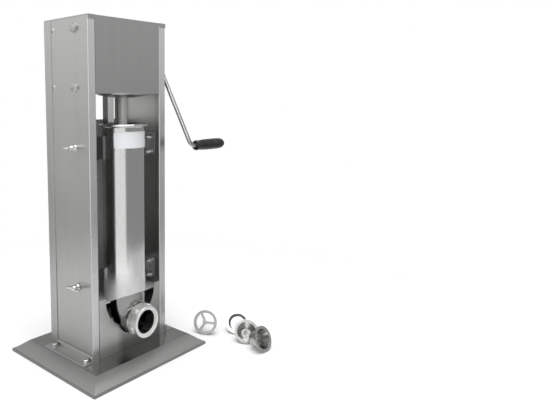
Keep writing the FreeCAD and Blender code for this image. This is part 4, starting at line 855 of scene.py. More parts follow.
class FieldTree(Wiring):
    """A Geometry Nodes tree that sets one fastener at each point of a mesh."""

    def __init__(self, name: str) -> None:
        """Starts a tree with a geometry input and output and a material input.

        Args:
            name: the tree's name.
        """
        super().__init__(bpy.data.node_groups.new(name, "GeometryNodeTree"))
        self.interface: dict[str, Any] = {}
        self.socket("Places", "NodeSocketGeometry")
        self.socket("Finish", "NodeSocketMaterial")
        self.tree.interface.new_socket(name="Fasteners", in_out="OUTPUT", socket_type="NodeSocketGeometry")
        self.entry = self.tree.nodes.new("NodeGroupInput")
        self.exit = self.tree.nodes.new("NodeGroupOutput")

    def socket(self, name: str, kind: str) -> None:
        """Adds a named input to the tree."""
        item = self.tree.interface.new_socket(name=name, in_out="INPUT", socket_type=kind)
        self.interface[name] = item.identifier

    def size(self, name: str) -> Signal:
        """Adds a named size and returns its value."""
        self.socket(name, "NodeSocketFloat")
        return Signal(self.tree, self.entry.outputs[name])

    def frustum(
        self, sides: int, low_radius: Number, high_radius: Number, base: Number, depth: Number
    ) -> bpy.types.NodeSocket:
        """Adds one frustum whose foot stands at a height, and returns its geometry.

        Args:
            sides: how many sides it has.
            low_radius: the radius of its foot.
            high_radius: the radius of its top.
            base: the height of its foot.
            depth: how far its top is above its foot.

        Returns:
            The frustum's geometry.
        """
        sizes = {"Vertices": sides, "Radius Bottom": low_radius, "Radius Top": high_radius, "Depth": depth}
        cone = self.node("GeometryNodeMeshCone", {}, sizes)
        lift = self.node("ShaderNodeCombineXYZ", {}, {"Z": base})
        moved = self.node(
            "GeometryNodeTransform", {}, {"Geometry": cone.outputs["Mesh"], "Translation": lift.outputs[0]}
        )
        return moved.outputs["Geometry"]

    def close(self, shapes: Sequence[bpy.types.NodeSocket]) -> "FieldTree":
        """Instances the joined shapes on the places, along each place's own direction.

        Args:
            shapes: the geometries that make up one fastener.

        Returns:
            The finished tree.
        """
        joined = self.tree.nodes.new("GeometryNodeJoinGeometry")
        for shape in shapes:
            self.tree.links.new(shape, joined.inputs[0])
        named = "GeometryNodeInputNamedAttribute"
        facing = self.node(named, {"data_type": "FLOAT_VECTOR"}, {"Name": "facing"})
        spin = self.node(named, {"data_type": "FLOAT"}, {"Name": "spin"})
        align = self.node(
            "FunctionNodeAlignRotationToVector", {"axis": "Z"}, {"Vector": facing.outputs["Attribute"]}
        )
        roll = self.node("ShaderNodeCombineXYZ", {}, {"Z": spin.outputs["Attribute"]})
        local = self.node("FunctionNodeEulerToRotation", {}, {"Euler": roll.outputs[0]})
        turned = self.node(
            "FunctionNodeRotateRotation",
            {"rotation_space": "LOCAL"},
            {"Rotation": align.outputs["Rotation"], "Rotate By": local.outputs["Rotation"]},
        )
        placed = self.node(
            "GeometryNodeInstanceOnPoints",
            {},
            {
                "Points": self.entry.outputs["Places"],
                "Instance": joined.outputs[0],
                "Rotation": turned.outputs["Rotation"],
            },
        )
        real = self.node("GeometryNodeRealizeInstances", {}, {"Geometry": placed.outputs["Instances"]})
        painted = self.node(
            "GeometryNodeSetMaterial",
            {},
            {"Geometry": real.outputs["Geometry"], "Material": self.entry.outputs["Finish"]},
        )
        self.feed(self.exit.inputs[0], painted.outputs["Geometry"])
        return self


def bolt_tree() -> FieldTree:
    """Builds the tree of a hexagon bolt: washer, head with turned chamfer, and a shank end.

    Returns:
        The finished tree.
    """
    tree = FieldTree("hexagon_bolts")
    radius = tree.size("Head Radius")
    height = tree.size("Head Height")
    washer = tree.size("Washer Radius")
    sheet = tree.size("Washer Height")
    shank = tree.size("Shank Radius")
    inner = tree.size("Shank Depth")
    shapes = [
        tree.frustum(48, washer, washer * 0.985, 0.0, sheet),
        tree.frustum(6, radius, radius, sheet, height * 0.8),
        tree.frustum(6, radius, radius * 0.84, sheet + height * 0.8, height * 0.2),
        tree.frustum(32, shank, shank, inner * -1.0, inner),
    ]
    return tree.close(shapes)


def screw_tree() -> FieldTree:
    """Builds the tree of a raised screw: cone, low dome and a driver recess rim.

    Returns:
        The finished tree.
    """
    tree = FieldTree("raised_screws")
    radius = tree.size("Head Radius")
    height = tree.size("Head Height")
    recess = tree.size("Recess Radius")
    shapes = [
        tree.frustum(40, radius, radius * 0.96, 0.0, height * 0.35),
        tree.frustum(40, radius * 0.96, radius * 0.78, height * 0.35, height * 0.4),
        tree.frustum(40, radius * 0.78, recess, height * 0.75, height * 0.2),
        tree.frustum(6, recess * 0.96, recess * 0.4, height * 0.95, height * -0.5),
    ]
    return tree.close(shapes)


def bead_tree() -> FieldTree:
    """Builds the tree of a weld bead: one flattened scale at each place.

    Returns:
        The finished tree.
    """
    tree = FieldTree("weld_beads")
    width = tree.size("Bead Radius")
    ball = tree.node(
        "GeometryNodeMeshUVSphere", {}, {"Segments": 12, "Rings": 8, "Radius": 1.0}
    )
    scale = tree.node("ShaderNodeCombineXYZ", {}, {"X": width, "Y": width * 0.8, "Z": width * 0.7})
    scaled = tree.node(
        "GeometryNodeTransform", {}, {"Geometry": ball.outputs["Mesh"], "Scale": scale.outputs[0]}
    )
    return tree.close([scaled.outputs["Geometry"]])


class Tree(Enum):
    """The kinds of fastener field."""

    BOLT = "hexagon_bolts"
    SCREW = "raised_screws"
    BEAD = "weld_beads"


_trees: dict[Tree, FieldTree] = {}
TREE_MAKERS: dict[Tree, Callable[[], FieldTree]] = {
    Tree.BOLT: bolt_tree,
    Tree.SCREW: screw_tree,
    Tree.BEAD: bead_tree,
}


def field_piece(
    name: str,
    kind: Tree,
    places: Sequence[tuple[Triple, Triple, float]],
    sizes: dict[str, float],
    look: Any,
    edge: float = 0.0,
) -> bpy.types.Object:
    """Makes a set of like fasteners with Geometry Nodes.

    Args:
        name: the piece's name.
        kind: the tree to use.
        places: for each fastener its foot, its direction and its roll in radians.
        sizes: the tree's named sizes in metres.
        look: the finish.
        edge: an edge round, or 0.

    Returns:
        The plain mesh piece, without body.
    """
    if kind not in _trees:
        _trees[kind] = TREE_MAKERS[kind]()
    fasteners = _trees[kind]
    mesh = bpy.data.meshes.new(name)
    mesh.from_pydata([place[0] for place in places], [], [])
    facing = mesh.attributes.new("facing", "FLOAT_VECTOR", "POINT")
    facing.data.foreach_set("vector", [value for place in places for value in place[1]])
    spin = mesh.attributes.new("spin", "FLOAT", "POINT")
    spin.data.foreach_set("value", [place[2] for place in places])
    piece = Workshop.link(name, mesh)
    modifier = piece.modifiers.new("field", "NODES")
    modifier.node_group = fasteners.tree
    modifier[fasteners.interface["Finish"]] = finish(look)
    for size_name, value in sizes.items():
        modifier[fasteners.interface[size_name]] = value
    Workshop.applied(piece)
    tidy = bmesh.new()
    tidy.from_mesh(piece.data)
    bmesh.ops.remove_doubles(tidy, verts=tidy.verts, dist=SAME_POINT)
    tidy.to_mesh(piece.data)
    tidy.free()
    if edge > 0:
        Workshop.softened(piece, edge, 2)
    Workshop.smooth(piece.data, 30)
    return piece


# ---------------------------------------------------------------- measures from the frame


@dataclass(frozen=True)
class Measures:
    """Places that several sub-assemblies share, read from the frame."""

    front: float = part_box("left_side_panel")[0].y
    side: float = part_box("right_side_panel")[1].x
    column_foot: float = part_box("left_side_panel")[0].z
    column_top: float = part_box("left_side_panel")[1].z
    back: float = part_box("rear_cover")[1].y
    axis_y: float = sum(corner.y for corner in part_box("piston")) / 2
    outlet_z: float = sum(corner.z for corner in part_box("outlet_gasket")) / 2
    fixing_y: float = sum(corner.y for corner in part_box("saddle_bolts")) / 2
    shaft_y: float = sum(corner.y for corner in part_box("shaft_bushes")) / 2
    shaft_z: float = sum(corner.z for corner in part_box("shaft_bushes")) / 2
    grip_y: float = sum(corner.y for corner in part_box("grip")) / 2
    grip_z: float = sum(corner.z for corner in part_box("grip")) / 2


SPOT = Measures()


# ---------------------------------------------------------------- sub-assemblies


@dataclass
class Foot:
    """The pressed foot with its brackets, bolts and stiffeners."""

    pressing_edge: float = 1.2 * MM
    bracket_edge: float = 0.5 * MM
    bolt_radius: float = 7.4 * MM
    bolt_height: float = 5.5 * MM
    washer_radius: float = 8.4 * MM
    washer_height: float = 1.5 * MM
    shank_radius: float = 4 * MM
    head_edge: float = 0.25 * MM
    bolt_margin: float = 12 * MM
    bolt_pitch: float = 120 * MM
    bracket_sheet: float = 3 * MM
    top_normal: float = 0.98
    rim_normal: float = 0.2

    def build(self) -> None:
        """Makes and dresses every piece of the foot."""
        cover = Workshop.node_copy("base_cover", "foot_pressing", self.pressing_edge, 3)
        # The upright rim faces take the darker copy: painted shade.
        Workshop.paint(cover, (FOOT_STEEL, FOOT_TOP, FOOT_RIM_PAINTED_SHADE), self.zone)
        Workshop.dress(cover, FOOT_STEEL, "stand", ["base_cover"])
        for side in ("left", "right"):
            node = f"foot_bracket_{side}"
            bracket = Workshop.node_copy(node, f"{node}_folded", self.bracket_edge)
            Workshop.dress(bracket, COVER_STEEL, "stand", [node])
        self.bolts()
        Workshop.repaint("base_plate", FOOT_STEEL)
        Workshop.repaint("base_stiffeners", FOOT_STEEL)

    def zone(self, polygon: bpy.types.MeshPolygon) -> int:
        """Returns the finish of one face of the pressing: 0 on a slope, 1 on top, 2 on the rim, whose darker
        copy is painted shade.

        Args:
            polygon: a face of the pressing.

        Returns:
            The number of its finish.
        """
        if polygon.normal.z > self.top_normal:
            return 1
        return 2 if polygon.normal.z < self.rim_normal else 0

    def bolts(self) -> None:
        """Makes the four foot bolts with their washers."""
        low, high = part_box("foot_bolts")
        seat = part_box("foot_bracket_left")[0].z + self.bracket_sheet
        reach = high.x - self.washer_radius
        places = []
        for index, x in enumerate((-reach, reach)):
            for row in range(2):
                y = SPOT.front + self.bolt_margin + row * self.bolt_pitch
                places.append(((x, y, seat), (0.0, 0.0, 1.0), 0.4 + 0.7 * index + 0.35 * row))
        sizes = {
            "Head Radius": self.bolt_radius,
            "Head Height": self.bolt_height,
            "Washer Radius": self.washer_radius,
            "Washer Height": self.washer_height,
            "Shank Radius": self.shank_radius,
            "Shank Depth": seat - low.z,
        }
        piece = field_piece("foot_bolt_set", Tree.BOLT, places, sizes, BOLT_METAL, self.head_edge)
        Workshop.dress(piece, BOLT_METAL, "stand", ["foot_bolts"])


@dataclass
class Column:
    """The side panels, the covers and the screws that hold them."""

    sheet_edge: float = 0.35 * MM
    cover_edge: float = 0.6 * MM
    flange_depth: float = 1.2 * MM
    inner_depth: float = 3 * MM
    inner_normal: float = -0.9
    flange_normal: float = -0.7
    screw_radius: float = 4 * MM
    screw_height: float = 1.8 * MM
    screw_edge: float = 0.12 * MM
    recess_share: float = 0.42
    side_screw_rows: int = 4
    screw_margin: float = 40 * MM
    screw_inset: float = 8 * MM

    def build(self) -> None:
        """Makes and dresses the column."""
        for side in ("left", "right"):
            self.side_panel(side)
        rear = Workshop.node_copy("rear_cover", "rear_cover_folded", self.sheet_edge)
        Workshop.paint(
            rear,
            (PANEL_STEEL, INSIDE_STEEL),
            lambda face: int(
                face.normal.y < self.inner_normal and face.center.y > SPOT.back - self.inner_depth
            ),
        )
        Workshop.dress(rear, PANEL_STEEL, "stand", ["rear_cover"])
        for node, name, look in (
            ("top_cover", "top_cover_pressed", COVER_STEEL),
            ("head_front_cover", "head_cover_folded", COVER_STEEL),
            ("lower_front_panel", "lower_panel_folded", LOW_STEEL),
            ("cylinder_shelf", "shelf_folded", SHELF_STEEL),
        ):
            piece = Workshop.node_copy(node, name, self.cover_edge)
            Workshop.dress(piece, look, "stand", [node])
        self.rear_screws()
        self.top_screws()

    def side_panel(self, side: str) -> None:
        """Makes one side panel, with a lighter painted-highlight copy of its steel on its front flange.

        Args:
            side: left or right.
        """
        node = f"{side}_side_panel"
        panel = Workshop.node_copy(node, f"{node}_folded", self.sheet_edge)
        # The front flange takes the lighter copy of the steel: a painted highlight.
        Workshop.paint(
            panel,
            (PANEL_STEEL, FLANGE_PAINTED_LIGHT),
            lambda face: int(
                face.normal.y < self.flange_normal and face.center.y < SPOT.front + self.flange_depth
            ),
        )
        Workshop.dress(panel, PANEL_STEEL, "stand", [node])

    def rear_screws(self) -> None:
        """Makes the screws down both edges of the rear cover."""
        height = SPOT.column_top - SPOT.column_foot
        places = []
        for row in range(self.side_screw_rows):
            share = row / (self.side_screw_rows - 1)
            z = SPOT.column_foot + self.screw_margin + share * (height - 2 * self.screw_margin)
            for way in (-1, 1):
                x = way * (SPOT.side - self.screw_inset)
                places.append(((x, SPOT.back, z), (0.0, 1.0, 0.0), row * 0.8 + way))
        self.screws("rear_screw_set", places, "rear_cover_screws")

    def top_screws(self) -> None:
        """Makes the four screws of the top cover."""
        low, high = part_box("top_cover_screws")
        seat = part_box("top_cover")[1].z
        inset = self.screw_radius
        places = []
        for x in (low.x + inset, high.x - inset):
            for y in (low.y + inset, high.y - inset):
                places.append(((x, y, seat), (0.0, 0.0, 1.0), 9 * x + 5 * y))
        self.screws("top_screw_set", places, "top_cover_screws")

    def screws(self, name: str, places: list[tuple[Triple, Triple, float]], node: str) -> None:
        """Makes one set of raised screws in place of a CAD node.

        Args:
            name: the piece's name.
            places: for each screw its foot, its direction and its roll.
            node: the CAD node that the piece stands for.
        """
        sizes = {
            "Head Radius": self.screw_radius,
            "Head Height": self.screw_height,
            "Recess Radius": self.screw_radius * self.recess_share,
        }
        piece = field_piece(name, Tree.SCREW, places, sizes, BOLT_METAL, self.screw_edge)
        Workshop.dress(piece, BOLT_METAL, "stand", [node])


@dataclass
class Cradle:
    """The saddles, their post, the head frames and everything bolted through the side panels."""

    edge: float = 0.5 * MM
    post_edge: float = 2.2 * MM
    painted_shade_normal: float = -0.9
    saddle_bolt_radius: float = 7.5 * MM
    saddle_bolt_height: float = 5.3 * MM
    head_bolt_radius: float = 10.7 * MM
    head_bolt_height: float = 6.5 * MM
    bolt_edge: float = 0.3 * MM
    bolt_washer: float = 0.4 * MM
    nut_washer: float = 0.1 * MM
    shank_depth: float = 5 * MM
    rivet_radius: float = 5.7 * MM
    rivet_height: float = 1.8 * MM
    rivet_depth: float = 3 * MM
    rivet_steps: int = 6
    nut_depth: float = 5.3 * MM
    saddle_bolt_end: float = 17 * MM
    head_bolt_end: float = 10 * MM
    end_pitch: float = 1.5 * MM

    def build(self) -> None:
        """Makes and dresses the cradle."""
        for node in ("upper_saddle", "lower_saddle", "head_lower_frame", "head_upper_frame"):
            piece = Workshop.node_copy(node, f"{node}_folded", self.edge)
            Workshop.dress(piece, COVER_STEEL, "stand", [node])
        post = Workshop.node_copy("support_post", "post_tube", self.post_edge, 4)
        looks = (POST_STEEL, POST_PAINTED_SHADE)
        # The post's left faces take the dark copy of its steel: painted shade.
        Workshop.paint(post, looks, lambda face: int(face.normal.x < self.painted_shade_normal))
        Workshop.dress(post, POST_STEEL, "stand", ["support_post"])
        self.through_bolts("saddle_bolts", "saddle_bolt_set", self.saddle_levels(), (1,), False)
        self.through_bolts("head_bolts", "head_bolt_set", self.head_levels("head_bolts"), (-1, 1), True)
        self.rivets()
        Workshop.repaint("wing_screw_bushes", BOLT_METAL)

    def saddle_levels(self) -> list[float]:
        """Returns the heights of the saddle bolts.

        Returns:
            The heights in metres, from the lowest up.
        """
        levels = []
        for node in ("lower_saddle", "upper_saddle"):
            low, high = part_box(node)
            middle, third = (low.z + high.z) / 2, (high.z - low.z) / 3
            levels += [middle - third, middle + third]
        return levels

    def head_levels(self, node: str) -> list[float]:
        """Returns the two heights of a row of fasteners through the head.

        Args:
            node: head_bolts or head_rivets.

        Returns:
            The lower and the upper height in metres.
        """
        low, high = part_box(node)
        half = self.head_bolt_radius if node == "head_bolts" else self.rivet_radius
        return [low.z + half, high.z - half]

    def through_bolts(
        self, node: str, name: str, levels: list[float], ways: tuple[int, ...], heavy: bool
    ) -> None:
        """Makes bolts through a side panel: heads outside, nuts and thread ends inside.

        Args:
            node: the CAD node that the heads stand for.
            name: the name of the heads' piece.
            levels: the heights of the bolts in metres.
            ways: the sides, -1 for the left and 1 for the right.
            heavy: whether these are the larger bolts of the head.
        """
        radius = self.head_bolt_radius if heavy else self.saddle_bolt_radius
        height = self.head_bolt_height if heavy else self.saddle_bolt_height
        inner = SPOT.side - self.nut_depth
        depth = self.head_bolt_end if heavy else self.saddle_bolt_end
        heads, nuts = [], []
        for index, level in enumerate(levels):
            for way in ways:
                foot = (way * SPOT.side, SPOT.fixing_y, level)
                heads.append((foot, (float(way), 0.0, 0.0), 0.5 + 0.9 * index + 0.4 * way))
                seat = (way * inner, SPOT.fixing_y, level)
                nuts.append((seat, (-float(way), 0.0, 0.0), 0.2 + 0.6 * index))
        sizes = {
            "Head Radius": radius,
            "Head Height": height,
            "Washer Radius": radius * 0.98,
            "Washer Height": self.bolt_washer,
            "Shank Radius": radius * 0.55,
            "Shank Depth": self.shank_depth,
        }
        outside = field_piece(name, Tree.BOLT, heads, sizes, BOLT_METAL, self.bolt_edge)
        Workshop.dress(outside, BOLT_METAL, "stand", [node])
        sizes |= {"Washer Radius": radius * 0.5, "Washer Height": self.nut_washer}
        inside = field_piece(f"{name}_nuts", Tree.BOLT, nuts, sizes, BOLT_METAL, self.bolt_edge)
        Workshop.dress(inside, BOLT_METAL, "stand")
        profile = self.thread_end(radius * 0.5, depth)
        ends = []
        for foot, facing, _ in nuts:
            axis = Axis.MINUS_X if facing[0] < 0 else Axis.X
            ends.append(turned_piece(f"{name}_end", profile, at(*foot, axis), 28))
        threads = merged(f"{name}_threads", ends)
        Workshop.dress(threads, BOLT_METAL, "stand")

    def thread_end(self, core: float, depth: float) -> Profile:
        """Returns the profile of a bolt's threaded end, with one crest to each pitch.

        Args:
            core: the radius between the crests.
            depth: how far the end reaches.

        Returns:
            The profile, as radius and height pairs.
        """
        profile: Profile = [(0.0, 0.0), (core, 0.0)]
        for step in range(int(depth / self.end_pitch)):
            base = step * self.end_pitch
            profile += [(core, base + 0.75 * MM), (core * 1.1, base + 1.1 * MM)]
            profile.append((core, base + self.end_pitch))
        return profile + [(core * 0.8, depth), (0.0, depth)]

    def rivets(self) -> None:
        """Makes the domed rivets of the head frames."""
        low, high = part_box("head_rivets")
        y = (low.y + high.y) / 2
        radius, shank = self.rivet_radius, self.rivet_radius * 0.5
        profile: Profile = [(0.0, -self.rivet_depth), (shank, -self.rivet_depth), (shank, 0.0), (radius, 0.0)]
        for step in range(1, self.rivet_steps + 1):
            turn = math.pi / 2 * step / self.rivet_steps
            profile.append((radius * math.cos(turn), self.rivet_height * math.sin(turn)))
        domes = []
        for level in self.head_levels("head_rivets"):
            for way in (-1, 1):
                axis = Axis.X if way > 0 else Axis.MINUS_X
                domes.append(turned_piece("rivet", profile, at(way * SPOT.side, y, level, axis), 40))
        piece = merged("head_rivet_set", domes)
        Workshop.dress(piece, BOLT_METAL, "stand", ["head_rivets"])


@dataclass
class WingScrew:
    """One cast wing screw on the left side."""

    level: str
    height: float
    collar_radius: float = 8 * MM
    hub_radius: float = 7 * MM
    shank_radius: float = 3.9 * MM
    shank_length: float = 17 * MM
    hub_length: float = 20.5 * MM
    wing_width: float = 4.6 * MM
    wing_edge: float = 0.9 * MM
    wing_reach: float = 23.0
    wing_taper: float = 0.35

    def build(self) -> None:
        """Makes and dresses the screw."""
        x = -SPOT.side
        profile = rounded(
            [
                (0.0, -self.shank_length),
                (self.shank_radius, -self.shank_length),
                (self.shank_radius, 0.4 * MM),
                (self.collar_radius, 0.4 * MM),
                (self.collar_radius, 4 * MM),
                (self.hub_radius * 0.9, 7 * MM),
                (self.hub_radius, 13 * MM),
                (self.hub_radius * 0.75, 19 * MM),
                (0.0, self.hub_length),
            ],
            [0, 0.4 * MM, 0, 0.8 * MM, 1.2 * MM, 1.5 * MM, 2 * MM, 2.5 * MM, 0],
        )
        hub = turned_piece("hub", profile, at(x, SPOT.fixing_y, self.height, Axis.MINUS_X), 48)
        pieces = [hub] + [self.wing(way) for way in (-1, 1)]
        piece = merged(f"{self.level}_wing_cast", pieces)
        Workshop.dress(piece, WING_METAL, f"{self.level}_wing", [f"{self.level}_wing_screw"])

    def wing(self, way: int) -> bpy.types.Object:
        """Makes one rounded wing, thinner towards its tip.

        Args:
            way: -1 for the front wing and 1 for the rear one.

        Returns:
            The new piece.
        """
        outline = [
            (3.0, 8.0),
            (7.0, 8.8),
            (12.0, 10.2),
            (18.0, 11.8),
            (22.0, 14.6),
            (22.6, 18.6),
            (20.0, 22.8),
            (15.5, 23.6),
            (10.5, 21.4),
            (6.5, 18.2),
            (3.0, 17.0),
        ]
        count = len(outline)
        points = []
        for layer in (-1, 1):
            for reach, proud in outline:
                thick = self.wing_width / 2 * (1 - self.wing_taper * reach / self.wing_reach)
                x, y = -SPOT.side - proud * MM, SPOT.fixing_y + way * reach * MM
                points.append((x, y, self.height + layer * thick))
        faces = [list(range(count)), list(range(2 * count - 1, count - 1, -1))]
        faces += bands(2, count)
        piece = Workshop.link("wing", Workshop.mesh("wing", points, faces))
        Workshop.softened(piece, self.wing_edge)
        smooth = piece.modifiers.new("cast", "SUBSURF")
        smooth.levels = smooth.render_levels = 2
        return Workshop.applied(piece)


@dataclass
class Cylinder:
    """The polished cylinder, its blank label, the elbow, the spigot, the gasket and the ring nut."""

    tube_radius: float = 50.8 * MM
    tube_wall: float = 1.2 * MM
    flare_height: float = 11 * MM
    flare_radius: float = 58 * MM
    bead: float = 1 * MM
    lip_height: float = 6.5 * MM
    mitre_slope: float = math.tan(math.radians(22.5))
    seat_height: float = 3 * MM
    seat_radius: float = 53.2 * MM
    seat_lap: float = 0.4 * MM
    seat_round: float = 0.6 * MM
    collar: float = 3 * MM
    collar_play: float = 0.02 * MM
    collar_chamfer: float = 0.4 * MM
    elbow_radius: float = 49.3 * MM
    elbow_wall: float = 4 * MM
    outlet_radius: float = 38 * MM
    thread_radius: float = 32.4 * MM
    bend_steps: int = 28
    segments: int = 96
    weld_scales: int = 150
    weld_radius: float = 1.15 * MM
    weld_seed: int = 7
    flange_gap: float = 0.5 * MM
    thread_depth: float = 1.1 * MM
    straight: float = 60 * MM
    flare_steps: int = 8
    lip_steps: int = 16
    label_corner: float = 3 * MM
    label_lift: float = 0.25 * MM
    label_wall: float = 0.15 * MM

    def build(self) -> None:
        """Makes and dresses the cylinder and its outlet."""
        self.tube()
        self.label()
        self.elbow()
        self.spigot()
        self.weld()
        self.gasket()
        RingNut(self.thread_radius).build()

    def seam(self, y: float, lift: float = 0.0) -> float:
        """Returns the height of the mitre plane at a place in the row's depth."""
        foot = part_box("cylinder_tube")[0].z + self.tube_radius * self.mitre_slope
        return foot - (y - SPOT.axis_y) * self.mitre_slope + lift

    def tube(self) -> None:
        """Makes the tube with its mitred foot, a seat ring, a curved flare and a rolled lip."""
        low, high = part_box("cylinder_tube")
        inner = self.tube_radius - self.tube_wall
        flare_foot = high.z - self.lip_height - 1.5 * MM
        spread = self.flare_radius - self.tube_radius
        outside: Profile = [(self.tube_radius, low.z), (self.tube_radius, low.z + self.straight)]
        inside: Profile = [(inner, low.z), (inner, low.z + self.straight)]
        outside += [(self.tube_radius, flare_foot), (self.tube_radius + 1 * MM, flare_foot + 1 * MM)]
        for step in range(self.flare_steps + 1):
            share = step / self.flare_steps
            inside.append((inner + spread * share**1.6, high.z - self.flare_height * (1 - share)))
        lip = []
        middle, reach = high.z - self.lip_height / 2, self.lip_height / 2
        outer = self.flare_radius + self.bead - reach
        for step in range(self.lip_steps + 1):
            turn = -math.pi / 2 + math.pi * step / self.lip_steps
            lip.append((outer + reach * math.cos(turn), middle + reach * math.sin(turn)))
        points, faces = lathe(outside + lip + inside[::-1], at(0, SPOT.axis_y, 0), self.segments)
        for point in points:
            if point.z < low.z + 0.1 * MM:
                point.z = self.seam(point.y)
        mesh = Workshop.mesh("tube_shell", points, faces)
        Workshop.smooth(mesh)
        pieces = [Workshop.link("tube_shell", mesh), self.seat()]
        piece = merged("cylinder_shell", pieces)
        Workshop.dress(piece, TUBE_STEEL, "stand", ["cylinder_tube"])

    def seat(self) -> bpy.types.Object:
        """Makes the half ring that carries the tube on the shelf behind the mitre.

        Returns:
            The new piece.
        """
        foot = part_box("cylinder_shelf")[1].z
        top = foot + self.seat_height
        drop = foot - self.seam(SPOT.axis_y) - self.seat_height
        start = math.asin(drop / self.mitre_slope / self.seat_radius)
        steps = self.segments // 2
        sections = []
        for step in range(steps + 1):
            turn = start + (math.pi - 2 * start) * step / steps
            ring = []
            for radius, level in (
                (self.tube_radius - self.seat_lap, foot),
                (self.seat_radius - self.seat_lap, foot),
                (self.seat_radius, foot + self.seat_lap),
                (self.seat_radius, top - self.seat_round),
                (self.seat_radius - self.seat_round, top),
                (self.tube_radius - self.seat_lap, top),
            ):
                y = SPOT.axis_y + radius * math.sin(turn)
                ring.append(Vector((radius * math.cos(turn), y, max(level, self.seam(y)))))
            sections.append(ring)
        points = [point for ring in sections for point in ring]
        count = len(sections[0])
        faces = [list(range(count)), list(range(len(points) - count, len(points)))]
        faces += bands(len(sections), count)
        return Workshop.link("tube_seat", Workshop.mesh("tube_seat", points, faces))

    def label(self) -> None:
        """Makes the blank label: a thin film wrapped on the tube, with rounded corners."""
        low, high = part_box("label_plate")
        radius = self.tube_radius + self.label_lift
        half = math.atan2(high.x, SPOT.axis_y - high.y)
        width, height = 2 * half * radius, high.z - low.z
        corner = self.label_corner
        columns, rows = 72, 12
        points, faces = [], []
        for row in range(rows + 1):
            level = height * row / rows
            cut = 0.0
            near = min(level, height - level)
            if near < corner:
                cut = corner - math.sqrt(max(0.0, corner**2 - (corner - near) ** 2))
            for column in range(columns + 1):
                along = -width / 2 + cut + (width - 2 * cut) * column / columns
                turn = along / radius
                x, y = radius * math.sin(turn), SPOT.axis_y - radius * math.cos(turn)
                points.append((x, y, low.z + level))
        for row in range(rows):
            for column in range(columns):
                start = row * (columns + 1) + column
                faces.append([start, start + 1, start + columns + 2, start + columns + 1])
        piece = Workshop.link("label_film", Workshop.mesh("label_film", points, faces))
        wall = piece.modifiers.new("film", "SOLIDIFY")
        wall.thickness = self.label_wall
        wall.offset = 0.0
        Workshop.applied(piece)
        Workshop.smooth(piece.data, 40)
        Workshop.dress(piece, LABEL_FILM, "stand", ["label_plate"])

    def section(self, y: float, z: float, tilt: float, radius: float) -> list[Vector]:
        """Returns one circle of the elbow: its centre, its tilt in degrees and its radius.

        Args:
            y: the centre's place in the row's depth.
            z: the centre's height.
            tilt: how far the circle is tipped from level, in degrees.
            radius: the circle's radius.

        Returns:
            The circle's points.
        """
        turn = math.radians(tilt)
        circle = []
        for step in range(self.segments):
            angle = 2 * math.pi * step / self.segments
            x, along = radius * math.cos(angle), radius * math.sin(angle)
            circle.append(Vector((x, y + along * math.cos(turn), z - along * math.sin(turn))))
        return circle

    def mitred(self, radius: float, lift: float) -> list[Vector]:
        """Returns one upright circle of the elbow whose points lie above the mitre plane.

        Args:
            radius: the circle's radius, seen from above.
            lift: how far it lies above the mitre plane.

        Returns:
            The circle's points.
        """
        circle = self.section(SPOT.axis_y, 0.0, 0.0, radius)
        for point in circle:
            point.z = self.seam(point.y, lift)
        return circle

    def elbow(self) -> None:
        """Makes the reducing elbow as one closed skin, outside and inside."""
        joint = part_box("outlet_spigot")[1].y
        neck = self.tube_radius - self.tube_wall - self.collar_play
        rings = [
            self.mitred(neck - self.collar_chamfer, self.collar),
            self.mitred(neck, self.collar - self.collar_chamfer),
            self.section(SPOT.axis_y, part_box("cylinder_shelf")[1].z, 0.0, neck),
        ]
        rings += [self.bend(step, 0.0, joint) for step in range(self.bend_steps + 1)]
        rings += [self.bend(step, self.elbow_wall, joint) for step in range(self.bend_steps, -1, -1)]
        rings.append(self.mitred(self.elbow_radius - self.elbow_wall, self.collar))
        self.skin("elbow_cast", rings, ELBOW_STEEL, "outlet_elbow")

    def spigot(self) -> None:
        """Makes the threaded spigot: a flange against the elbow, the thread and the bore."""
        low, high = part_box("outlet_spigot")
        face, joint = low.y, high.y
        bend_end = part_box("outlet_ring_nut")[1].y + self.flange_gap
        bore = self.thread_radius - self.elbow_wall
        level = SPOT.outlet_z
        rings = [
            self.section(joint, level, 90.0, self.outlet_radius),
            self.section(bend_end + 0.6 * MM, level, 90.0, self.outlet_radius),
            self.section(bend_end, level, 90.0, self.outlet_radius - 1 * MM),
            self.section(bend_end, level, 90.0, self.thread_radius),
        ]
        depth = self.thread_depth
        for turn in range(int((bend_end - face) / THREAD_PITCH)):
            crest = bend_end - 1 * MM - turn * THREAD_PITCH
            for share, cut in ((0.15, 0.0), (0.35, 0.0), (0.6, depth), (0.8, depth)):
                place = crest - share * THREAD_PITCH
                if place > face + 1 * MM:
                    rings.append(self.section(place, level, 90.0, self.thread_radius - cut))
        for y, radius in (
            (face + 0.5 * MM, self.thread_radius - 0.6 * MM),
            (face, self.thread_radius - depth),
            (face, bore + 0.5 * MM),
            (face + 0.5 * MM, bore),
            (joint, bore),
        ):
            rings.append(self.section(y, level, 90.0, radius))
        self.skin("spigot_turned", rings, SPIGOT_STEEL, "outlet_spigot")

    def skin(self, name: str, rings: list[list[Vector]], look: Any, node: str) -> None:
        """Makes a closed piece from circles that follow each other around its section.

        Args:
            name: the piece's name.
            rings: circles of equally many points; the last joins the first.
            look: the piece's finish.
            node: the CAD node that the piece stands for.
        """
        points = [point for ring in rings for point in ring]
        mesh = Workshop.mesh(name, points, bands(len(rings), self.segments, True))
        Workshop.smooth(mesh, 40)
        Workshop.dress(Workshop.link(name, mesh), look, "stand", [node])

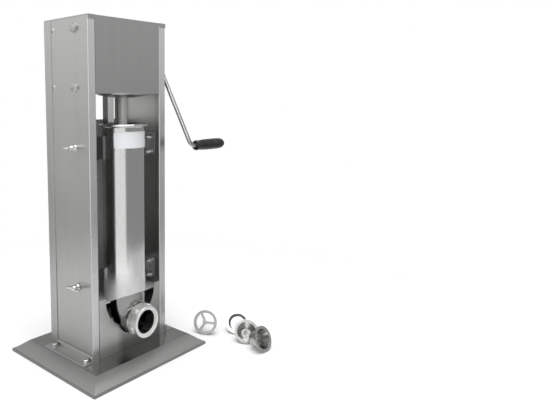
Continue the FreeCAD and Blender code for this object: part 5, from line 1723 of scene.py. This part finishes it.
    def bend(self, step: int, wall: float, end: float) -> list[Vector]:
        """Returns one section of the bend's outer skin, or of the inner one a wall within it.

        Args:
            step: the section's number, from the shelf down to the spigot.
            wall: how far it lies within the outer skin.
            end: the place of the bend's end in the row's depth.

        Returns:
            The section's points.
        """
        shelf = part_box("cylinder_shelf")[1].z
        turn = math.pi / 2 * step / self.bend_steps
        lying = self.elbow_radius * math.cos(turn)
        upright = self.outlet_radius * math.sin(turn)
        return self.section(
            end + (SPOT.axis_y - end) * math.cos(turn),
            shelf - (shelf - SPOT.outlet_z) * math.sin(turn),
            math.degrees(math.atan2(upright, lying)),
            math.hypot(lying, upright) - wall,
        )

    def weld(self) -> None:
        """Makes the weld bead along the mitred seam of tube and elbow."""
        random = Random(self.weld_seed)
        places = []
        for step in range(self.weld_scales):
            turn = 2 * math.pi * step / self.weld_scales
            radius = self.tube_radius + random.uniform(-0.25, 0.05) * MM
            y = SPOT.axis_y + radius * math.sin(turn)
            place = (radius * math.cos(turn), y, self.seam(y, random.uniform(-0.3, 0.3) * MM))
            along = (-math.sin(turn), math.cos(turn), -math.cos(turn) * self.mitre_slope)
            places.append((place, along, random.uniform(0.0, 6.28)))
        piece = field_piece("seam_weld", Tree.BEAD, places, {"Bead Radius": self.weld_radius}, WELD_METAL)
        Workshop.dress(piece, WELD_METAL, "stand")

    def gasket(self) -> None:
        """Makes the soft ring at the outlet's face."""
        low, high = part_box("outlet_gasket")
        bore, outer, length = self.thread_radius - self.elbow_wall, self.thread_radius, high.y - low.y
        profile = rounded([(bore, 0.0), (outer, 0.0), (outer, length), (bore, length)], [0.4 * MM])
        piece = turned_piece("gasket_ring", profile, at(0, low.y, SPOT.outlet_z, Axis.Y), self.segments)
        Workshop.dress(piece, SEAL_WHITE, "stand", ["outlet_gasket"])


@dataclass
class RingNut:
    """The cast ring nut with its five lugs."""

    thread_radius: float
    sleeve_radius: float = 36 * MM
    rim_radius: float = 37.6 * MM
    rim_width: float = 5 * MM
    mouth_radius: float = 30.6 * MM
    lip: float = 3 * MM
    lug_reach: float = 41 * MM
    lug_width: float = 15 * MM
    lug_edge: float = 1.5 * MM
    thread_play: float = 0.12 * MM
    segments: int = 120
    lugs: int = 5
    lug_turn: float = 32.0

    def build(self) -> None:
        """Makes and dresses the nut."""
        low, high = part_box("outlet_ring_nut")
        length = high.y - low.y
        bore = self.thread_radius + self.thread_play
        profile: Profile = [
            (self.mouth_radius, 0.0),
            (self.rim_radius, 0.0),
            (self.rim_radius, self.rim_width),
            (self.sleeve_radius, self.rim_width + 1.2 * MM),
            (self.sleeve_radius, length),
            (bore, length),
        ]
        turns = int((length - self.lip - 1 * MM) / THREAD_PITCH)
        for turn in range(turns):
            base = length - 1 * MM - turn * THREAD_PITCH
            for share, cut in ((0.1, 0.0), (0.3, 0.9), (0.55, 0.9), (0.8, 0.0)):
                profile.append((bore + cut * MM, base - share * THREAD_PITCH))
        profile += [(bore, self.lip), (self.mouth_radius, self.lip)]
        radii = [0.8 * MM, 1.4 * MM, 1.2 * MM, 1 * MM, 1 * MM, 0.3 * MM]
        radii += [0.0] * (turns * 4) + [0.2 * MM, 0.4 * MM]
        place = at(0, low.y, SPOT.outlet_z, Axis.Y)
        ring = turned_piece("ring", rounded(profile, radii), place, self.segments)
        pieces = [ring] + [self.lug(low.y, length, number) for number in range(self.lugs)]
        piece = merged("ring_nut_cast", pieces)
        Workshop.dress(piece, RING_METAL, "ring_nut", ["outlet_ring_nut"])

    def lug(self, face: float, length: float, number: int) -> bpy.types.Object:
        """Makes one lug: a rounded block that tapers towards the nut's rear.

        Args:
            face: the place of the nut's front face.
            length: the nut's length.
            number: the lug's number, from 0.

        Returns:
            The new piece.
        """
        turn = Matrix.Rotation(math.radians(self.lug_turn - number * 360 / self.lugs), 4, "Y")
        place = Matrix.Translation((0, 0, SPOT.outlet_z)) @ turn
        near = face + length / 2 - 4 * MM
        far = face + length
        foot = self.sleeve_radius - 1.5 * MM
        half = self.lug_width / 2
        corners = []
        for y, top, side in (
            (near, self.lug_reach - 0.3 * MM, half * 0.86),
            ((near + far) / 2, self.lug_reach - 0.2 * MM, half * 0.95),
            (far - 0.2 * MM, self.lug_reach - 1.4 * MM, half * 0.9),
        ):
            for x, z in (
                (-side, foot),
                (-side * 0.92, (foot + top) / 2),
                (-side * 0.7, top),
                (side * 0.7, top),
                (side * 0.92, (foot + top) / 2),
                (side, foot),
            ):
                corners.append(place @ Vector((x, y, z)))
        faces = bands(3, 6) + [[5, 4, 3, 2, 1, 0], [12, 13, 14, 15, 16, 17]]
        piece = Workshop.link("lug", Workshop.mesh("lug", corners, faces))
        return Workshop.softened(piece, self.lug_edge, 4)


@dataclass
class Drive:
    """The rack, the piston and the gears in the head."""

    disc_radius: float = 59 * MM
    boss_radius: float = 13 * MM
    rack_radius: float = 10 * MM
    rack_play: float = 0.06 * MM

    def build(self) -> None:
        """Makes and dresses the drive."""
        self.disc()
        for node, look in (
            ("rack_bar", RACK_STEEL),
            ("piston", PISTON_STEEL),
            ("piston_seal", SEAL_WHITE),
            ("piston_nut", BOLT_METAL),
            ("upper_rack_guide", BRONZE),
            ("gear_plate_left", GEAR_METAL),
            ("gear_plate_right", GEAR_METAL),
            ("pinion_axle", BOLT_METAL),
            ("axle_nuts", BOLT_METAL),
            ("axle_spacers", BOLT_METAL),
            ("shaft_bushes", BRONZE),
            ("intermediate_gear", GEAR_METAL),
            ("rack_pinion", GEAR_METAL),
            ("axle_bushes", BRONZE),
            ("crank_shaft", BOLT_METAL),
            ("crank_pinion", GEAR_METAL),
        ):
            Workshop.repaint(node, look)

    def disc(self) -> None:
        """Makes the dished disc that guides the rack under the head."""
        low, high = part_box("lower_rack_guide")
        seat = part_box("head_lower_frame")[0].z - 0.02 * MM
        bore = self.rack_radius + self.rack_play
        profile = rounded(
            [
                (bore, low.z),
                (self.boss_radius + 10 * MM, low.z),
                (self.disc_radius - 3 * MM, seat - 3.4 * MM),
                (self.disc_radius, seat - 1.8 * MM),
                (self.disc_radius, seat),
                (self.boss_radius, seat),
                (self.boss_radius, high.z),
                (bore, high.z),
            ],
            [0.8 * MM, 6 * MM, 1.5 * MM, 0.6 * MM, 0.3 * MM, 0, 0.8 * MM, 0.5 * MM],
            6,
        )
        piece = turned_piece("guide_disc", profile, at(0, SPOT.axis_y, 0), 96)
        Workshop.dress(piece, COVER_STEEL, "stand", ["lower_rack_guide"])


@dataclass
class Crank:
    """The crank: bearing, hub, bent rod, screw and turning grip."""

    rod_radius: float = 5 * MM
    hub_radius: float = 15 * MM
    shaft_radius: float = 8 * MM
    screw_radius: float = 7.5 * MM
    screw_height: float = 5.4 * MM
    screw_shank: float = 4 * MM
    screw_edge: float = 0.3 * MM
    bearing_play: float = 0.05 * MM
    bend: float = 14 * MM
    arm_x: float = 145 * MM
    arm_steps: int = 8
    bend_steps: int = 12
    rod_segments: int = 32
    grip_radius: float = 13.5 * MM

    def build(self) -> None:
        """Makes and dresses the crank."""
        self.bearing()
        self.hub()
        self.rod()
        self.grip()
        Workshop.repaint("grip_nut", BOLT_METAL)

    def bearing(self) -> None:
        """Makes the flanged bearing outside the right panel."""
        side = SPOT.side
        bore = self.shaft_radius + self.bearing_play
        collar = self.shaft_radius + 3 * MM
        flange = self.hub_radius + 9 * MM
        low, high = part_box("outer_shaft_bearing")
        profile = rounded(
            [
                (bore, low.x - side),
                (collar, low.x - side),
                (collar, 0.0),
                (flange, 0.0),
                (flange, 2.2 * MM),
                (flange - 2 * MM, 4 * MM),
                (collar + 1.5 * MM, 4 * MM),
                (collar, 5.5 * MM),
                (collar, high.x - side),
                (bore, high.x - side),
            ],
            [0.3 * MM, 0.3 * MM, 0, 0.4 * MM, 0.8 * MM, 0.8 * MM, 1 * MM, 1 * MM, 0.8 * MM, 0.4 * MM],
        )
        piece = turned_piece("bearing_flange", profile, at(side, SPOT.shaft_y, SPOT.shaft_z, Axis.X), 72)
        Workshop.dress(piece, POST_STEEL, "stand", ["outer_shaft_bearing"])

    def hub(self) -> None:
        """Makes the hub that clamps the rod, and its end screw."""
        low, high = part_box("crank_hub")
        length = high.x - low.x
        profile = rounded(
            [(0.0, 0.0), (self.hub_radius, 0.0), (self.hub_radius, length), (0.0, length)],
            [0, 1.4 * MM, 1.4 * MM, 0],
            5,
        )
        piece = turned_piece("hub_turned", profile, at(low.x, SPOT.shaft_y, SPOT.shaft_z, Axis.X), 72)
        Workshop.dress(piece, BOLT_METAL, "crank", ["crank_hub"])
        head = {
            "Head Radius": self.screw_radius,
            "Head Height": self.screw_height,
            "Washer Radius": self.hub_radius - 2.2 * MM,
            "Washer Height": 2 * MM,
            "Shank Radius": self.screw_shank,
            "Shank Depth": 3 * MM,
        }
        place = ((high.x, SPOT.shaft_y, SPOT.shaft_z), (1.0, 0.0, 0.0), 0.5)
        screw = field_piece("hub_screw_head", Tree.BOLT, [place], head, BOLT_METAL, self.screw_edge)
        Workshop.dress(screw, BOLT_METAL, "crank", ["hub_screw"])

    def rod(self) -> None:
        """Makes the bent rod from the hub down to the grip's end."""
        shaft = Vector((self.arm_x, SPOT.shaft_y, SPOT.shaft_z))
        knee = Vector((self.arm_x, SPOT.grip_y, SPOT.grip_z))
        along = (knee - shaft).normalized()
        across = Vector((1, 0, 0))
        start = shaft + along * (self.shaft_radius + 0.6 * MM)
        before = knee - along * self.bend
        centre = before + across * self.bend
        path = [start + (before - start) * (step / self.arm_steps) for step in range(self.arm_steps)]
        for step in range(self.bend_steps + 1):
            turn = math.pi / 2 * step / self.bend_steps
            path.append(centre + (-across * math.cos(turn) + along * math.sin(turn)) * self.bend)
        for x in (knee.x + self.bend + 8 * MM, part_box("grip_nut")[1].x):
            path.append(Vector((x, knee.y, knee.z)))
        flat = across.cross(along).normalized()
        segments = self.rod_segments
        points = []
        for index, point in enumerate(path):
            ahead = path[min(index + 1, len(path) - 1)] - path[max(index - 1, 0)]
            side = ahead.normalized().cross(flat).normalized()
            for step in range(segments):
                turn = 2 * math.pi * step / segments
                offset = side * math.cos(turn) + flat * math.sin(turn)
                points.append(point + offset * self.rod_radius)
        last = (len(path) - 1) * segments
        faces = bands(len(path), segments)
        faces += [list(range(segments)), list(range(last, last + segments))]
        mesh = Workshop.mesh("rod_bent", points, faces)
        Workshop.smooth(mesh)
        Workshop.dress(Workshop.link("rod_bent", mesh), ROD_STEEL, "crank", ["crank_rod"])

    def grip(self) -> None:
        """Makes the long rounded grip and its end plug."""
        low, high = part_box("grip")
        length = high.x - low.x + 3.2 * MM
        bore = self.rod_radius + self.bearing_play
        radius = self.grip_radius
        shape: Profile = [
            (bore, 0.0),
            (radius - 3.4 * MM, 0.0),
            (radius - 2.0 * MM, 0.5 * MM),
            (radius - 1.2 * MM, 2.0 * MM),
            (radius - 1.2 * MM, 6.6 * MM),
            (radius - 1.9 * MM, 8.6 * MM),
            (radius - 2.2 * MM, 10.4 * MM),
            (radius - 1.9 * MM, 13.0 * MM),
            (radius - 1.3 * MM, 18.0 * MM),
            (radius - 0.6 * MM, 27.0 * MM),
            (radius - 0.15 * MM, 40.0 * MM),
            (radius, length * 0.55),
            (radius - 0.1 * MM, length - 26 * MM),
            (radius - 0.5 * MM, length - 17 * MM),
            (radius - 1.3 * MM, length - 10 * MM),
            (radius - 2.5 * MM, length - 6 * MM),
            (radius - 4.0 * MM, length - 3.3 * MM),
            (radius - 5.0 * MM, length - 3.2 * MM),
            (radius - 5.0 * MM, length - 16 * MM),
            (bore, length - 16 * MM),
        ]
        piece = turned_piece("grip_moulded", shape, at(low.x, SPOT.grip_y, SPOT.grip_z, Axis.X), 80)
        Workshop.dress(piece, GRIP_BLACK, "handle", ["grip"])
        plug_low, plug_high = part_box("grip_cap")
        depth = plug_high.x - plug_low.x
        plug: Profile = [
            (0.0, 0.0),
            (8.45 * MM, 0.0),
            (8.45 * MM, depth - 3.2 * MM),
            (9.45 * MM, depth - 3.1 * MM),
            (8.9 * MM, depth - 2.2 * MM),
            (7.4 * MM, depth - 1.2 * MM),
            (5.0 * MM, depth - 0.5 * MM),
            (2.2 * MM, depth - 0.1 * MM),
            (0.0, depth),
        ]
        cap = turned_piece("grip_plug", plug, at(plug_low.x, SPOT.grip_y, SPOT.grip_z, Axis.X), 64)
        Workshop.dress(cap, GRIP_BLACK, "handle", ["grip_cap"])


@dataclass
class LooseDies:
    """The four loose dies that stand on the floor by the foot."""

    edge: float = 0.3 * MM
    nodes: tuple[str, ...] = ("die_spider_ring", "die_star_long", "die_star_cup", "die_cone")
    bodies: tuple[str, ...] = ("spider_die", "long_star_die", "cup_star_die", "cone_die")

    def build(self) -> None:
        """Makes and dresses the dies."""
        for node, body in zip(self.nodes, self.bodies):
            piece = Workshop.node_copy(node, f"{node}_turned", self.edge)
            Workshop.dress(piece, DIE_METAL, body, [node])


# ---------------------------------------------------------------- studio


@dataclass(frozen=True)
class Patch:
    """One soft area of the surroundings, seen in reflections alone.

    A heading is in degrees from the row's back, clockwise from above; low and high are
    the sines of its elevations.
    """

    heading: float
    half_width: float
    low: float
    high: float
    light: float
    blur: float = 10.0
    edge: float = 0.06


@dataclass(frozen=True)
class SoftBox:
    """One rectangular area light that points at a target."""

    name: str
    place: Triple
    target: Triple
    size: tuple[float, float]
    power: float


@dataclass
class Studio:
    """The pale floor, the surroundings, the soft lights and the camera."""

    camera_place: Triple = (-0.8692, -1.0095, 0.6283)
    yaw: float = 45.2
    pitch: float = 6.27
    roll: float = -0.25
    focal_pixels: float = 543.9
    centre_x: float = 150.0
    centre_y: float = 159.0
    sensor: float = 36.0
    floor_size: float = 4.0
    floor_white: float = 0.86
    floor_edge: tuple[float, float] = (0.80, 1.15)
    floor_right: tuple[float, float] = (0.28, 0.7)
    floor_right_clear: float = 0.5
    room: float = 0.42
    straight_up: float = 1e-4
    patches: tuple[Patch, ...] = (
        Patch(248.0, 41.0, -0.5, 0.55, 1.25, 9.0),
        Patch(316.0, 34.0, -0.5, 0.7, 0.60, 14.0),
        Patch(316.0, 34.0, 0.03, 0.7, 0.90, 14.0),
        Patch(137.0, 30.0, 0.0, 0.6, 0.72, 12.0, 0.04),
        Patch(180.0, 180.0, 0.6, 1.2, 0.75, 1.0, 0.2),
    )
    soft_boxes: tuple[SoftBox, ...] = (
        SoftBox("top_box", (-0.1, -0.3, 2.6), (0.0, 0.0, 0.0), (2.2, 2.2), 62.0),
        SoftBox("left_box", (-1.6, -1.3, 1.9), (0.0, 0.0, 0.3), (0.9, 1.2), 9.0),
    )

    def build(self) -> None:
        """Makes the floor, the world, the lights and the camera."""
        self.floor()
        self.world()
        self.lights()
        self.camera()

    def camera(self) -> None:
        """Makes the camera from its place, its angles and its principal point."""
        data = bpy.data.cameras.new("view")
        data.sensor_width = self.sensor
        data.lens = self.focal_pixels / IMAGE_WIDTH * self.sensor
        data.shift_x = (IMAGE_WIDTH / 2 - self.centre_x) / IMAGE_WIDTH
        data.shift_y = -(IMAGE_HEIGHT / 2 - self.centre_y) / IMAGE_WIDTH
        data.clip_end = 60.0
        camera = bpy.data.objects.new("view", data)
        bpy.context.scene.collection.objects.link(camera)
        yaw, pitch = math.radians(self.yaw), math.radians(self.pitch)
        level = math.cos(pitch)
        forward = Vector((math.sin(yaw) * level, math.cos(yaw) * level, -math.sin(pitch)))
        roll = Matrix.Rotation(math.radians(self.roll), 3, "Z").to_quaternion()
        camera.rotation_mode = "QUATERNION"
        camera.rotation_quaternion = forward.to_track_quat("-Z", "Y") @ roll
        camera.location = self.camera_place
        bpy.context.scene.camera = camera

    def floor(self) -> None:
        """Makes the pale floor, which clears into the white behind it far out and towards the right."""
        half = self.floor_size / 2
        mesh = bpy.data.meshes.new("floor")
        corners = [(-half, -half, 0), (half, -half, 0), (half, half, 0), (-half, half, 0)]
        mesh.from_pydata(corners, [], [(0, 1, 2, 3)])
        floor = Workshop.link("floor", mesh)
        bench = FinishBench("pale_floor")
        white = (self.floor_white, self.floor_white, self.floor_white, 1.0)
        bench.put(Base_Color=white, Roughness=0.85, Metallic=0.0, Specular_IOR_Level=0.1)
        x = bench.coordinate("X")
        y = bench.coordinate("Y")
        reach = (x * x + y * y) ** 0.5
        right = (x * 0.7 - y * 0.7).between(*self.floor_right) * self.floor_right_clear
        clear = bench.node("ShaderNodeBsdfTransparent", {}, {})
        mix = bench.node(
            "ShaderNodeMixShader",
            {},
            {
                0: right.math("MAXIMUM", right, reach.between(*self.floor_edge)),
                1: bench.shader.outputs["BSDF"],
                2: clear.outputs["BSDF"],
            },
        )
        output = next(node for node in bench.tree.nodes if node.type == "OUTPUT_MATERIAL")
        bench.feed(output.inputs["Surface"], mix.outputs["Shader"])
        floor.data.materials.append(bench.material)

    def world(self) -> None:
        """Makes the plain studio surroundings: white to the camera, softly graded for reflections."""
        world = bpy.data.worlds.new("studio")
        bpy.context.scene.world = world
        world.use_nodes = True
        sky = Wiring(world.node_tree)
        sky.tree.nodes.clear()
        place = sky.node("ShaderNodeTexCoord", {}, {}).outputs["Generated"]
        split = sky.node("ShaderNodeSeparateXYZ", {}, {0: place})
        east, north, up = (Signal(sky.tree, split.outputs[axis]) for axis in "XYZ")
        flat = (east * east + north * north) ** 0.5
        level: Number = self.room
        for patch in self.patches:
            turn = math.radians(patch.heading)
            facing = (east * math.sin(turn) + north * math.cos(turn)) / (flat + self.straight_up)
            wide = math.cos(math.radians(patch.half_width))
            soft = math.cos(math.radians(max(patch.half_width - patch.blur, 0.5)))
            tall = up.between(patch.low - patch.edge, patch.low + patch.edge)
            top = 1.0 - up.between(patch.high - patch.edge, patch.high + patch.edge)
            level = facing.between(wide, soft) * tall * top * (patch.light - self.room) + level
        soft_light = sky.node("ShaderNodeBackground", {}, {"Strength": level})
        plain = sky.node("ShaderNodeBackground", {}, {"Color": (1.0, 1.0, 1.0, 1.0), "Strength": 1.0})
        path = sky.node("ShaderNodeLightPath", {}, {})
        mix = sky.node(
            "ShaderNodeMixShader",
            {},
            {0: path.outputs["Is Camera Ray"], 1: soft_light.outputs[0], 2: plain.outputs[0]},
        )
        sky.node("ShaderNodeOutputWorld", {}, {"Surface": mix.outputs[0]})

    def lights(self) -> None:
        """Makes the soft boxes."""
        for box in self.soft_boxes:
            data = bpy.data.lights.new(box.name, "AREA")
            data.shape = "RECTANGLE"
            data.size, data.size_y = box.size
            data.energy = box.power
            light = bpy.data.objects.new(box.name, data)
            light.location = box.place
            aim = Vector(box.target) - Vector(box.place)
            light.rotation_euler = aim.to_track_quat("-Z", "Y").to_euler()
            bpy.context.scene.collection.objects.link(light)


def wing_screws() -> list[WingScrew]:
    """Returns the two wing screws, at the heights of their bushes.

    Returns:
        The lower and the upper screw.
    """
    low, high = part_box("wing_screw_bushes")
    radius = WingScrew.collar_radius
    return [WingScrew("lower", low.z + radius), WingScrew("upper", high.z - radius)]


def main() -> None:
    """Builds every sub-assembly and the studio."""
    logging.basicConfig(level=logging.INFO, format="%(name)s %(message)s")
    bpy.context.scene.view_settings.view_transform = "Standard"
    assemblies = [Foot(), Column(), Cradle(), *wing_screws(), Cylinder(), Drive(), Crank(), LooseDies()]
    for assembly in assemblies:
        LOG.info("building %s", type(assembly).__name__)
        assembly.build()
    Studio().build()


if __name__ == "__main__":
    main()
